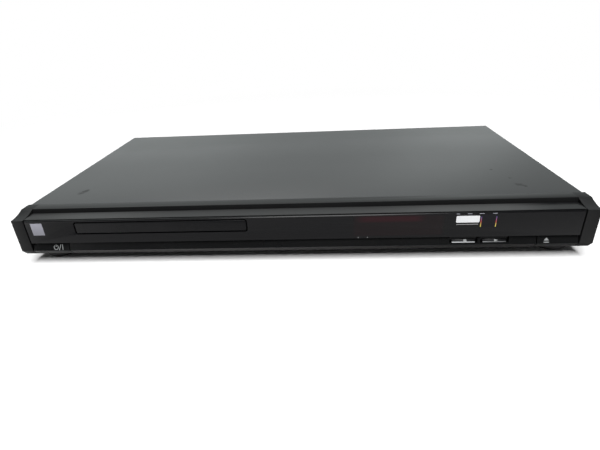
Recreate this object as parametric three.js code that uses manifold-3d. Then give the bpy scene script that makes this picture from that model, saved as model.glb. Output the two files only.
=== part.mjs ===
// A slim full-width disc player: steel case, moulded front panel, disc loader, boards and sockets.
// Millimetres. X runs across the front, -Y is the front, Z is up. The origin is on the floor.
import * as THREE from 'three';
import { mergeVertices } from 'three/addons/utils/BufferGeometryUtils.js';
import Module from 'manifold-3d';

// The case as a whole.
const caseWidth = 430;        // across the cover's two sides
const caseDepth = 224.5;      // front of the panel to the rear edge of the cover
const caseHeight = 43;        // floor to the top of the cover
const jackReach = 7.5;        // how far the jacks stand out behind the cover
const sheet = 0.8;            // steel sheet of the cover, chassis and rear panel
const fit = 0.3;              // gap between pieces that touch
const slip = 0.5;             // gap round pieces that move
const overrun = 1;            // how far a cutting solid runs past what it cuts

// Top cover: a steel sheet bent down at the sides and at the rear.
const coverBend = 1.6;        // outer radius of its two long bends
const coverLift = 0.2;        // the sides stop this far above the underside of the chassis
const coverFlange = 6.4;      // rear edge, bent down over the rear panel
const coverOverlap = 0.3;     // the front panel's rim stands this much above the cover

// Base chassis.
const footHeight = 5.9;       // height of the feet below the chassis
const chassisWall = 15;       // height of its turned-up sides
const ribHeight = 0.6;        // stiffening ribs pressed up in the floor
const ribWidth = 7;
const ribLength = 120;
const ribShares = [-0.28, 0.02, 0.26];
const ventLength = 26;
const ventWidth = 2.6;
const ventPitch = 6.5;
const ventCount = 9;
const postRadius = 3.4;       // pressed posts that carry the boards
const boardHeight = 6;        // underside of the boards above the chassis floor

// Feet.
const footRadius = 14;
const footStep = 1.5;         // the pad is this much smaller than the foot
const padHeight = 1.6;
const footInset = 16;         // centre of a foot from the side of the case
const frontFootBack = 26.5;   // centre of a front foot behind the front of the panel
const rearFootInset = 26;     // centre of a rear foot from the rear edge

// Front panel: one moulding. Its section is given by distances behind the front and by heights.
const panelWall = 2.2;
const panelReach = 24.2;      // front of the panel to the cover's front edge
const panelLap = 6;           // stretch that runs under the cover
const panelPride = 0.4;       // the ends stand this much wider than the cover
const panelFloor = 7.3;       // underside of the panel
const rimWidth = 9;           // flat rim in front of the cover
const dropRun = 1;            // the steep drop from the rim to the ledge leans forward by this much
const ledgeHeight = 39.9;     // the long ledge under the rim
const ledgeFront = 3.2;       // front edge of the ledge, behind the front
const faceRun = 1.1;         // the face leans back by this much from its foot to the ledge
const wingWidth = 9.1;        // end wings on both sides of the face plate
const swoopRun = 9;           // control point of the wing's curved top
const swoopSteps = 6;
const bandTop = 20.3;         // top of the recessed key band
const bandDepth = 2.5;        // how far the band's top lies behind the front
const bandFootDepth = 0.2;    // the same at its foot, so that the band leans back
const lipHeight = 13.9;       // top of the lower lip
const chamferRun = 3.8;       // the lip's slanted underside
const chamferFoot = 9.4;
const underRun = 7.5;         // where the underside turns flat

// Face plate, a smoked glossy plate in the panel.
const faceTop = 39.4;
const faceGroove = 1.2;       // dark groove between the plate and the wings
const faceBevel = 0.5;
const windowInset = 169.8;    // left end of the display window, from the right side of the case
const windowWidth = 64;
const windowFoot = 22.4;
const windowTop = 37.4;
const filterThickness = 1.4;

// Tray door and disc tray.
const trayShare = -0.23209;   // middle of the tray, as a share of the case's width
const doorWidth = 131.8;
const doorHeight = 8.4;
const doorMiddle = 32.9;      // height of the door's centre line
const doorGap = 1;
const doorRound = 1.3;
const trayWidth = 127;
const trayLength = 169;
const trayTop = 36.6;
const trayFoot = 28.9;        // underside of the side skirts and of the rack
const trayUnder = 31;         // underside of the tray's floor
const trayShell = 1.6;
const skirtWidth = 2.5;
const trayFrontWall = 2.4;
const discRadius = 60;
const smallDiscRadius = 40;
const discPlay = 0.7;         // the recess is larger than the disc by this much
const discFloor = 32.4;
const smallDiscFloor = 31.8;
const spindleBack = 70;       // disc centre behind the front of the panel
const slotRadius = 19;        // hole round the turntable
const slotLength = 61;        // reach of the pickup slot behind the disc centre
const trayTravel = 135;
const trayCorner = 6;

// Gears. All teeth have a 20 degree pressure angle.
const driveToothSize = 1;     // pitch diameter per tooth of the tray's gears
const feedToothSize = 0.8;    // and of the pickup's gears
const addendumShare = 0.8;
const dedendumShare = 1.2;
const toothPlay = 0.16;       // each tooth is thinner than half a pitch by this much
const rackPinionTeeth = 14;
const driveWheelTeeth = 30;
const pulleyPinionTeeth = 14;
const feedGearTeeth = 20;
const feedPinionTeeth = 14;
const rackOffset = 54;        // pitch line of the tray's rack, left of the tray's middle
const rackWidth = 1.9;        // solid back of the rack
const rackLength = 146;
const gearBack = 24.5;        // axis of the tray's gears behind the front
const wheelHeight = 1.2;

// Pulleys, belt and loading motor.
const pulleyRadius = 10;
const motorPulleyRadius = 3;
const pulleySpacing = 33;
const pulleyHeight = 2.2;
const flangeHeight = 0.5;
const beltThickness = 1;
const beltHeight = 0.9;
const shaftRadius = 1.5;      // gear posts and guide rods
const motorRadius = 10.2;
const motorFlat = 7.8;        // half the width across the motor's flats
const motorShaftRadius = 1;

// Loader frame.
const frameWall = 2.2;
const frameGap = 0.6;         // tray edge to frame wall
const frameTail = 12;         // frame behind the traverse's pivots
const frameFront = 8;         // front of the frame behind the front of the panel
const frameFloor = 9.9;
const frameFloorThickness = 1.6;
const railHeight = 2.2;
const railWidth = 3.2;
const keeperLength = 12;
const keeperShares = [0.12, 0.45, 0.86];
const deckLength = 32.8;
const deckThickness = 1.5;
const deckHeight = 25.2;      // underside of the deck that carries the gears
const legRadius = 4;
const legInset = 9;
const floorMargin = 9;        // floor left standing beside its opening and beside the ribs
const pivotSeatLength = 9;
const seatCut = 9;            // how far the cuts in the seats run out
const guideRib = 0.8;         // low ribs that guide the cam slider

// Cam slider and traverse.
const camLength = 70;
const camThickness = 2.4;
const camBack = 38.7;         // middle of the slider behind the front
const camTravel = 24;
const camRise = 7.8;          // lift of the pin over that travel
const pinRadius = 1.2;
const pinHeight = 14;         // height of the pin, lowered
const pinOffset = 6;          // pin right of the tray's middle
const traverseWidth = 100;
const traverseFront = 46;     // front of the plate behind the front
const traversePlate = 18;     // underside of the plate
const traverseThickness = 1.2;
const bossLength = 9;         // of the boss that holds the pin
const wellInset = 9;          // opening for the sled, from the sled's side
const traverseFlange = 4;
const pivotHeight = 17;
const pivotBack = 164;        // pivot of the traverse behind the front
const pivotReach = 4.5;
const traverseTail = 4;       // plate behind the pivot

// Spindle, turntable and clamper.
const spindleMotorRadius = 12;
const spindleMotorHeight = 5.7;
const platterRadius = 13;
const platterTop = 27.6;
const platterThickness = 1.4;
const coneRadius = 7.3;
const coneTipRadius = 4.8;
const coneHeight = 2.1;
const hubRadius = 4.6;
const clamperRadius = 13.5;
const clamperThickness = 1.4;
const clamperNeckRadius = 10.2;
const clamperFlangeRadius = 12.8;
const clamperFlangeHeight = 1;
const bridgeWidth = 32;
const bridgeHeight = 38.8;

// Pickup sled, rods and feed gears.
const rodSpread = 24;
const rodHeight = 21.6;
const rodSeatBack = 7.5;      // front seat of the rods behind the disc centre
const sledWidth = 58;
const sledLength = 26;
const sledTop = 24;
const sledBottom = 19.6;
const lensStart = 24;         // lens behind the disc centre at rest
const sledTravel = 34;
const lensRadius = 3;
const lensBarrelRadius = 5.4;
const lensHeight = 1.8;
const lensStand = 1;          // the lens stands this much above its barrel
const feedRackOffset = 31.5;  // pitch line of the sled's rack
const feedRackLength = 44;
const feedGearBack = 46;      // feed gear behind the disc centre
const feedGearHeight = 2;
const feedMotorRadius = 6.5;
const feedMotorHeight = 5.7;

// Keys.
const keyTravel = 0.8;
const keyWall = 2.2;
const powerKeyWidth = 29.2;
const openKeyWidth = 28.3;
const keyGap = 0.8;
const stopKeyInset = 100;     // left end of the stop key's recess, from the right side of the case
const smallKeyPitch = 22;
const smallKeyWidth = 20.4;
const smallKeyFoot = 14.8;
const smallKeyInset = 1.5;
const barHeight = 2.2;
const barRun = 1.5;           // how far the bar slopes back to its top
const barLip = 0.4;           // upright edge at its foot
const barReach = 2;
const smallKeyDepth = 2.9;    // how far their caps lie behind the front
const stemWidth = 5;
const stemHeight = 3;
const switchSize = 6;
const switchDepth = 3.3;
const switchButton = 1;
const switchButtonRadius = 1.6;
const switchHeight = 17;
const endSwitchInset = 14;    // switches of the end keys from the inner side of the wings
const frontBoardBack = 13.5;  // front boards behind the front
const boardThickness = 1.6;
const frontBoardMargin = 15.2; // front board to the left of the display window
const frontBoardTop = 36;
const smallBoardClear = 13.2; // between the power key's board and the loader

// Rear panel and sockets.
const rearGap = 0.6;
const rearPanelTop = 41.9;
const inletInset = 31;        // middle of the inlet, from the right side of the case
const inletWidth = 22;
const inletHeight = 13;
const inletDepth = 16;
const inletWall = 1.6;
const inletPinRadius = 1.2;
const inletPinSpacing = 8.8;
const socketShares = { hdmi: 0.0326, coax: 0.0837, block: 0.1721 }; // middles of the sockets, of the width
const hdmiWidth = 15;
const hdmiHeight = 6;
const hdmiDepth = 12;
const hdmiWall = 0.6;
const jackHeight = 19;        // centre line of the lower row of jacks
const jackPitch = 15;
const jackRowPitch = 13;
const jackColumns = 3;
const jackRows = 2;
const jackRadius = 4.15;
const jackBore = 1.7;
const jackBlockDepth = 13;
const jackBlockMargin = 3.6;

// Boards and what stands on them.
const mainBoardShares = [-0.042, 0.2465]; // ends of the boards, of the case's width
const powerBoardShares = [0.2744, 0.479];
const mainBoardFront = 118;   // behind the front of the panel
const powerBoardFront = 104;
const boardRear = 17.5;       // rear edge of the boards ahead of the cover's rear edge
const postInset = 6;
const chipSize = 24;
const chipHeight = 2;
const smallChipSize = 12;
const transformerSize = 26;
const transformerHeight = 20;
const transformerShare = -0.295; // middle of the transformer, of the power board's width
const windingReach = 1.6;     // the windings stand this much out of the core
const capacitorShare = 0.148;
const capacitorRadius = 8;
const capacitorHeight = 24;
const sinkLength = 30;
const sinkHeight = 20;
const sinkBase = 2.4;
const finCount = 5;
const finThickness = 1.2;
const finReach = 7;
const cableWidth = 18;
const cableThickness = 0.5;
const cableDrop = 9;
const cableShare = 0.14;      // middle of the cable, of the case's width

// Screws that hold the cover.
const screwHeadRadius = 2.8;
const screwHeadHeight = 1.5;
const screwShankRadius = 1.45;
const screwLength = 5;
const rearScrewShares = [-0.46, 0, 0.46];
const sideScrewBack = 120;
const sideScrewHeight = 15;
const rearScrewDrop = 3.5;    // rear screws below the top of the cover

// Heights and places that follow from the values above.
const frontY = -(caseDepth + jackReach) / 2;
const rearY = frontY + caseDepth;
const halfWidth = caseWidth / 2;
const rimHeight = caseHeight + coverOverlap;
const floorTop = footHeight + fit + sheet;
const coverFrontY = frontY + panelReach + fit;
const wingInside = halfWidth + panelPride - wingWidth;
const trayCentre = trayShare * caseWidth;
const windowLeft = halfWidth - windowInset;
const powerKeyRight = -wingInside + keyGap + powerKeyWidth;
const openKeyLeft = wingInside - keyGap - openKeyWidth;
const stopKeyLeft = halfWidth - stopKeyInset;
const playKeyLeft = stopKeyLeft + smallKeyPitch;
const spindleY = frontY + spindleBack;
const gearY = frontY + gearBack;
const boardUnder = floorTop + boardHeight;
const rearPanelY = rearY - sheet - rearGap - sheet;
const chassisHalf = halfWidth - sheet - fit;

const wasm = await Module();
wasm.setup();

// How finely curves are cut into straight steps.
const wireSides = 10;
const barrelSides = 16;
const roundSides = 24;
const wideSides = 48;
const cornerSteps = 5;
const bendSteps = 3;
const slotSteps = 6;
const cableSteps = 16;

// Turns a closed three.js geometry into a solid that can be joined and cut.
function solid(geometry) {
  geometry.deleteAttribute('normal');
  geometry.deleteAttribute('uv');
  const merged = mergeVertices(geometry);
  return new wasm.Manifold(new wasm.Mesh({
    numProp: 3,
    vertProperties: Float32Array.from(merged.attributes.position.array),
    triVerts: Uint32Array.from(merged.index.array),
  }));
}

function box(x0, x1, y0, y1, z0, z1) {
  const geometry = new THREE.BoxGeometry(x1 - x0, y1 - y0, z1 - z0);
  geometry.translate((x0 + x1) / 2, (y0 + y1) / 2, (z0 + z1) / 2);
  return solid(geometry);
}

// A box that is the same on both sides of x = middle.
function centredBox(middle, half, y0, y1, z0, z1) {
  return box(middle - half, middle + half, y0, y1, z0, z1);
}

function outline(points) {
  return new THREE.Shape(points.map(([u, v]) => new THREE.Vector2(u, v)));
}

function extruded(shape, depth, steps = cornerSteps) {
  return new THREE.ExtrudeGeometry(shape, { depth, bevelEnabled: false, curveSegments: steps });
}

// Section in Y and Z, drawn out along X.
function alongX(shape, x0, x1, steps) {
  const turn = new THREE.Matrix4().makeBasis(
    new THREE.Vector3(0, 1, 0), new THREE.Vector3(0, 0, 1), new THREE.Vector3(1, 0, 0));
  return solid(extruded(shape, x1 - x0, steps).applyMatrix4(turn).translate(x0, 0, 0));
}

// Section in X and Z, drawn out along Y.
function alongY(shape, y0, y1, steps) {
  const turn = new THREE.Matrix4().makeBasis(
    new THREE.Vector3(1, 0, 0), new THREE.Vector3(0, 0, 1), new THREE.Vector3(0, -1, 0));
  return solid(extruded(shape, y1 - y0, steps).applyMatrix4(turn).translate(0, y1, 0));
}

// Section in X and Y, drawn out along Z.
function alongZ(shape, z0, z1, steps) {
  return solid(extruded(shape, z1 - z0, steps).translate(0, 0, z0));
}

// Rounded rectangle from its corners and the radius of its corners.
function roundedShape(u0, u1, v0, v1, radius) {
  const shape = new THREE.Shape();
  shape.absarc(u1 - radius, v1 - radius, radius, 0, Math.PI / 2);
  shape.absarc(u0 + radius, v1 - radius, radius, Math.PI / 2, Math.PI);
  shape.absarc(u0 + radius, v0 + radius, radius, Math.PI, 1.5 * Math.PI);
  shape.absarc(u1 - radius, v0 + radius, radius, 1.5 * Math.PI, 2 * Math.PI);
  return shape;
}

// Upright cylinder.
function post(x, y, z0, z1, radius, sides = roundSides) {
  const geometry = new THREE.CylinderGeometry(radius, radius, z1 - z0, sides);
  geometry.rotateX(Math.PI / 2).translate(x, y, (z0 + z1) / 2);
  return solid(geometry);
}

// Cylinder that lies along Y.
function barY(x, z, y0, y1, radius, sides = roundSides) {
  const geometry = new THREE.CylinderGeometry(radius, radius, y1 - y0, sides);
  geometry.translate(x, (y0 + y1) / 2, z);
  return solid(geometry);
}

// Cylinder that lies along X.
function barX(y, z, x0, x1, radius, sides = roundSides) {
  const geometry = new THREE.CylinderGeometry(radius, radius, x1 - x0, sides);
  geometry.rotateZ(Math.PI / 2).translate((x0 + x1) / 2, y, z);
  return solid(geometry);
}

// Turned piece from a profile of [radius, height] points that starts and ends on its axis.
function turned(profile, sides = roundSides) {
  const points = profile.map(([radius, height]) => new THREE.Vector2(radius, height));
  return solid(new THREE.LatheGeometry(points, sides).rotateX(Math.PI / 2));
}

function joined(...solids) {
  return solids.reduce((whole, piece) => whole.add(piece));
}

function cut(body, ...tools) {
  return tools.reduce((rest, tool) => rest.subtract(tool), body);
}

const player = new THREE.Group();

function addPiece(name, body, { color, roughness, metalness }) {
  const mesh = body.getMesh();
  const geometry = new THREE.BufferGeometry();
  geometry.setAttribute('position', new THREE.Float32BufferAttribute(mesh.vertProperties, 3));
  geometry.setIndex(Array.from(mesh.triVerts));
  geometry.computeVertexNormals();
  const piece = new THREE.Mesh(geometry, new THREE.MeshStandardMaterial({ color, roughness, metalness }));
  piece.name = name;
  player.add(piece);
}

const paintedSteel = { color: 0x2b2c2d, roughness: 0.45, metalness: 0.3 };
const bareSteel = { color: 0xb4b6b8, roughness: 0.35, metalness: 0.9 };
const blackMoulding = { color: 0x161718, roughness: 0.4, metalness: 0 };
const glossyPlate = { color: 0x0d0d0e, roughness: 0.12, metalness: 0 };
const trayPlastic = { color: 0x1c1d1e, roughness: 0.5, metalness: 0 };
const framePlastic = { color: 0x2f3133, roughness: 0.6, metalness: 0 };
const whiteNylon = { color: 0xdedcd2, roughness: 0.5, metalness: 0 };
const rubber = { color: 0x101010, roughness: 0.85, metalness: 0 };
const boardGreen = { color: 0x1f5a35, roughness: 0.5, metalness: 0 };
const boardTan = { color: 0xb08a52, roughness: 0.6, metalness: 0 };
const chipBlack = { color: 0x1a1a1b, roughness: 0.55, metalness: 0 };
const redFilter = { color: 0x3a0b0b, roughness: 0.15, metalness: 0 };
const yellowTape = { color: 0xd8b23a, roughness: 0.5, metalness: 0 };
const capacitorSleeve = { color: 0x1d2a4a, roughness: 0.4, metalness: 0 };
const aluminium = { color: 0xa9abad, roughness: 0.4, metalness: 0.8 };
const cableWhite = { color: 0xe6e4dc, roughness: 0.5, metalness: 0 };
const lensGlass = { color: 0x5a6f9a, roughness: 0.05, metalness: 0 };

// Distance behind the leaning face at a height, measured from the front-most plane.
function faceBack(z) {
  return faceRun * (z - lipHeight) / (ledgeHeight - lipHeight);
}

// Base chassis: a steel pan with turned-up sides, pressed ribs, vents and posts for the boards.
const boards = [[mainBoardShares, mainBoardFront], [powerBoardShares, powerBoardFront]]
  .map(([[left, right], front]) => ({
    left: left * caseWidth,
    right: right * caseWidth,
    front: frontY + front,
  }));
const boardRearY = rearY - boardRear;

function chassis() {
  const y0 = frontY + panelReach / 2;
  const y1 = rearPanelY - fit;
  const z0 = footHeight + fit;
  const wallFront = coverFrontY + panelLap + fit;
  let pan = centredBox(0, chassisHalf, y0, y1, z0, floorTop);
  for (const side of [-1, 1]) {
    const edge = side * chassisHalf;
    const wall = [edge, edge - side * sheet].sort((a, b) => a - b);
    pan = pan.add(box(...wall, wallFront, y1 - fit, z0, floorTop + chassisWall));
    pan = pan.subtract(barX(frontY + sideScrewBack, sideScrewHeight, wall[0] - overrun,
      wall[1] + overrun, screwShankRadius + fit, wireSides));
  }
  for (const share of ribShares) {
    const x = share * caseWidth;
    const middle = (y0 + y1) / 2;
    const rib = centredBox(x, ribWidth / 2, middle - ribLength / 2, middle + ribLength / 2, z0,
      floorTop + ribHeight);
    const hollow = centredBox(x, ribWidth / 2 - sheet, middle - ribLength / 2 + sheet,
      middle + ribLength / 2 - sheet, z0 - overrun, z0 + ribHeight);
    pan = pan.add(rib).subtract(hollow);
  }
  for (const { left, right, front } of boards) {
    const middle = (front + boardRearY) / 2;
    for (let i = 0; i < ventCount; i += 1) {
      const x = (left + right) / 2 + (i - (ventCount - 1) / 2) * ventPitch;
      pan = pan.subtract(centredBox(x, ventWidth / 2, middle - ventLength / 2, middle + ventLength / 2,
        z0 - overrun, floorTop + ribHeight + overrun));
    }
    for (const x of [left + postInset, right - postInset]) {
      for (const y of [front + postInset, boardRearY - postInset]) {
        pan = pan.add(post(x, y, z0, boardUnder - fit, postRadius, wireSides));
      }
    }
  }
  return pan;
}
addPiece('base_chassis', chassis(), bareSteel);

// Feet: four moulded rounds with a smaller pad below.
const footX = halfWidth - footInset;
const footPlaces = {
  front_left: [-footX, frontY + frontFootBack],
  front_right: [footX, frontY + frontFootBack],
  rear_left: [-footX, rearY - rearFootInset],
  rear_right: [footX, rearY - rearFootInset],
};
for (const [place, [x, y]] of Object.entries(footPlaces)) {
  const foot = turned([[0, 0], [footRadius - footStep, 0], [footRadius - footStep, padHeight],
    [footRadius, padHeight], [footRadius, footHeight], [0, footHeight]]).translate(x, y, 0);
  addPiece(`foot_${place}`, foot, rubber);
}

// Front panel: end wings and a long middle of their own sections, hollowed from behind.
function wingShape() {
  const shape = new THREE.Shape();
  shape.moveTo(frontY + panelReach, panelFloor);
  shape.lineTo(frontY + panelReach, rimHeight);
  shape.lineTo(frontY + panelReach - rimWidth, rimHeight);
  shape.quadraticCurveTo(frontY + swoopRun, ledgeHeight + coverOverlap, frontY + faceRun,
    ledgeHeight);
  shape.lineTo(frontY, lipHeight);
  shape.lineTo(frontY + chamferRun, chamferFoot);
  shape.lineTo(frontY + underRun, panelFloor);
  return shape;
}

const bandFace = frontY + bandDepth;
const bandFoot = frontY + bandFootDepth;
const middleShape = outline([
  [frontY + panelReach, panelFloor],
  [frontY + panelReach, rimHeight],
  [frontY + panelReach - rimWidth, rimHeight],
  [frontY + panelReach - rimWidth - dropRun, ledgeHeight],
  [frontY + ledgeFront, ledgeHeight],
  [frontY + ledgeFront, bandTop],
  [bandFace, bandTop],
  [bandFoot, lipHeight],
  [frontY, lipHeight],
  [frontY + chamferRun, chamferFoot],
  [frontY + underRun, panelFloor],
]);

const cavityShape = outline([
  [frontY + panelReach + panelLap + overrun, panelFloor + panelWall],
  [frontY + underRun, panelFloor + panelWall],
  [frontY + chamferRun + panelWall, chamferFoot + panelWall],
  [bandFace + panelWall, lipHeight],
  [bandFace + panelWall, bandTop + panelWall],
  [frontY + ledgeFront + panelWall, bandTop + panelWall],
  [frontY + ledgeFront + panelWall, ledgeHeight - panelWall],
  [frontY + panelReach - rimWidth + panelWall - dropRun, ledgeHeight - panelWall],
  [frontY + panelReach - rimWidth + panelWall, rimHeight - panelWall],
  [frontY + panelReach - panelWall, rimHeight - panelWall],
  [frontY + panelReach - panelWall, caseHeight - sheet - fit - panelWall],
  [frontY + panelReach + panelLap + overrun, caseHeight - sheet - fit - panelWall],
]);

const doorHole = {
  left: trayCentre - doorWidth / 2 - doorGap,
  right: trayCentre + doorWidth / 2 + doorGap,
  foot: doorMiddle - doorHeight / 2 - doorGap,
  top: doorMiddle + doorHeight / 2 + doorGap,
};
const doorHoleShape = roundedShape(doorHole.left, doorHole.right, doorHole.foot, doorHole.top,
  doorRound + doorGap);
const smallKeys = { stop: stopKeyLeft, play: playKeyLeft };

function frontPanel() {
  const panelHalf = halfWidth + panelPride;
  const lapHalf = chassisHalf - sheet - fit;
  const lapTop = caseHeight - sheet - fit;
  const wing = wingShape();
  let panel = joined(
    alongX(middleShape, -wingInside, wingInside),
    alongX(wing, -panelHalf, -wingInside, swoopSteps),
    alongX(wing, wingInside, panelHalf, swoopSteps),
    centredBox(0, lapHalf, frontY + panelReach - overrun, frontY + panelReach + panelLap,
      panelFloor, lapTop),
  );
  panel = panel.subtract(alongX(cavityShape, -lapHalf + panelWall, lapHalf - panelWall));
  const wallY = [frontY - overrun, frontY + ledgeFront + panelWall + overrun];
  panel = panel.subtract(alongY(doorHoleShape, ...wallY));
  panel = panel.subtract(box(windowLeft, windowLeft + windowWidth, ...wallY, windowFoot,
    windowTop));
  for (const left of Object.values(smallKeys)) {
    panel = panel.subtract(box(left, left + smallKeyWidth, ...wallY, smallKeyFoot,
      bandTop + overrun));
  }
  const notchBack = frontY + underRun + overrun;
  const notchY = [frontY - overrun, notchBack];
  panel = panel.subtract(box(-wingInside, powerKeyRight + keyGap, ...notchY, 0, bandTop));
  return panel.subtract(box(openKeyLeft - keyGap, wingInside, ...notchY, 0, bandTop));
}
addPiece('front_panel', frontPanel(), blackMoulding);

// Face plate: a flat glossy plate with the door's hole, parallel to the leaning front.
function facePlate() {
  const back = frontY + ledgeFront - fit;
  const foot = bandTop + fit;
  const half = wingInside - faceGroove;
  const plate = alongX(outline([
    [back, foot],
    [back, faceTop],
    [frontY + faceBack(faceTop) + faceBevel, faceTop],
    [frontY + faceBack(faceTop), faceTop - faceBevel],
    [frontY + faceBack(foot), foot],
  ]), -half, half);
  return plate.subtract(alongY(doorHoleShape, frontY - overrun, back + overrun));
}
addPiece('face_plate', facePlate(), glossyPlate);

// Red filter in the panel's window, behind the smoked plate.
const filterFront = frontY + ledgeFront + fit;
addPiece('display_filter', box(windowLeft + fit, windowLeft + windowWidth - fit, filterFront,
  filterFront + filterThickness, windowFoot + fit, windowTop - fit), redFilter);

// Tray door: clipped to the front of the tray, flush with the face plate.
const trayFrontY = frontY + ledgeFront + fit;
function trayDoor() {
  const foot = doorMiddle - doorHeight / 2;
  const top = doorMiddle + doorHeight / 2;
  const back = frontY + ledgeFront;
  const slab = alongX(outline([
    [back, foot], [back, top], [frontY + faceBack(top), top], [frontY + faceBack(foot), foot],
  ]), trayCentre - doorWidth / 2, trayCentre + doorWidth / 2);
  const front = roundedShape(trayCentre - doorWidth / 2, trayCentre + doorWidth / 2, foot, top,
    doorRound);
  return slab.intersect(alongY(front, frontY - overrun, back + overrun));
}
addPiece('tray_door', trayDoor(), glossyPlate);

// Half the angle that a tooth takes at its pitch circle, and the involute beyond the base circle.
const pressureAngle = THREE.MathUtils.degToRad(20);
const involute = (angle) => Math.tan(angle) - angle;

// Outline of a spur gear whose first tooth points along phase.
function gearShape(module, teeth, x, y, phase) {
  const pitchRadius = module * teeth / 2;
  const baseRadius = pitchRadius * Math.cos(pressureAngle);
  const tipRadius = pitchRadius + addendumShare * module;
  const rootRadius = pitchRadius - dedendumShare * module;
  const halfTooth = Math.PI / (2 * teeth) - toothPlay / (2 * pitchRadius);
  const flankStart = Math.max(baseRadius, rootRadius);
  const flank = [flankStart, pitchRadius, tipRadius]
    .map((radius) => [radius,
      halfTooth + involute(pressureAngle) - involute(Math.acos(baseRadius / radius))]);
  const side = [[rootRadius, flank[0][1]], ...flank];
  const points = [];
  for (let i = 0; i < teeth; i += 1) {
    const middle = phase + i * 2 * Math.PI / teeth;
    const rising = side.map(([radius, angle]) => [radius, middle - angle]);
    const falling = side.map(([radius, angle]) => [radius, middle + angle]).reverse();
    for (const [radius, angle] of [...rising, ...falling]) {
      points.push([x + radius * Math.cos(angle), y + radius * Math.sin(angle)]);
    }
  }
  return outline(points);
}

// Rack along Y with its teeth towards +X. A gap lies at y = gapY.
function rackShape(module, pitchX, backX, y0, y1, gapY) {
  const pitch = Math.PI * module;
  const tip = addendumShare * module;
  const root = dedendumShare * module;
  const halfTooth = pitch / 4 - toothPlay / 2;
  const slant = Math.tan(pressureAngle);
  const first = Math.ceil((y0 + pitch / 2 - gapY) / pitch - 1 / 2);
  const last = Math.floor((y1 - pitch / 2 - gapY) / pitch - 1 / 2);
  const points = [[backX, y0], [pitchX - root, y0]];
  for (let i = first; i <= last; i += 1) {
    const y = gapY + (i + 1 / 2) * pitch;
    points.push([pitchX - root, y - halfTooth - root * slant]);
    points.push([pitchX + tip, y - halfTooth + tip * slant]);
    points.push([pitchX + tip, y + halfTooth - tip * slant]);
    points.push([pitchX - root, y + halfTooth + root * slant]);
  }
  points.push([pitchX - root, y1], [backX, y1]);
  return outline(points);
}

// Disc tray: two round recesses, the pickup slot, side skirts that run on the rails, and the rack.
function discTray() {
  const half = trayWidth / 2;
  const y0 = trayFrontY;
  const y1 = y0 + trayLength;
  const plan = roundedShape(trayCentre - half, trayCentre + half, y0, y1, trayCorner);
  let tray = alongZ(plan, trayUnder, trayTop);
  tray = tray.add(centredBox(trayCentre, half - trayCorner, y0, y0 + trayFrontWall, trayFoot, trayTop));
  for (const side of [-1, 1]) {
    const edges = [trayCentre + side * half, trayCentre + side * (half - skirtWidth)]
      .sort((a, b) => a - b);
    tray = tray.add(box(...edges, y0 + trayCorner, y1 - trayCorner, trayFoot, trayUnder + overrun));
  }
  const rearPocket = centredBox(trayCentre, half - skirtWidth - trayShell,
    spindleY + discRadius + discPlay + trayShell, y1 - trayShell, trayFoot, trayTop - trayShell);
  tray = cut(tray,
    post(trayCentre, spindleY, discFloor, trayTop + overrun, discRadius + discPlay, wideSides),
    post(trayCentre, spindleY, smallDiscFloor, trayTop + overrun, smallDiscRadius + discPlay, wideSides),
    rearPocket);
  const rackX = trayCentre - rackOffset;
  const rackY0 = gearY - (rackLength - trayTravel) / 2;
  const rack = rackShape(driveToothSize, rackX, rackX - dedendumShare * driveToothSize - rackWidth,
    rackY0, rackY0 + rackLength, gearY);
  tray = tray.add(alongZ(rack, trayFoot, trayUnder + overrun));
  const slot = joined(
    post(trayCentre, spindleY, trayFoot, trayTop + overrun, slotRadius, roundSides),
    centredBox(trayCentre, slotRadius, spindleY, spindleY + slotLength, trayFoot, trayTop + overrun));
  return tray.subtract(slot);
}
addPiece('disc_tray', discTray(), trayPlastic);

// Loader frame: two walls with rails for the tray, a floor, a deck for the gears, legs and pivot seats.
const frameY = frontY + frameFront;
const frameInside = trayWidth / 2 + frameGap;
const frameTop = bridgeHeight - fit;
const pivotY = frontY + pivotBack;
const driveX = trayCentre - rackOffset + driveToothSize * rackPinionTeeth / 2;
const pulleyX = driveX + driveToothSize * (driveWheelTeeth + pulleyPinionTeeth) / 2;
const motorX = pulleyX + pulleySpacing;
const deckTop = deckHeight + deckThickness;
const wheelFoot = deckTop + fit;
const pulleyFoot = wheelFoot + wheelHeight + fit;
const postTop = trayUnder - slip;
const camY = frontY + camBack;
const camSpan = [camY - camThickness / 2, camY + camThickness / 2];
const frameFloorTop = frameFloor + frameFloorThickness;

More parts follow.
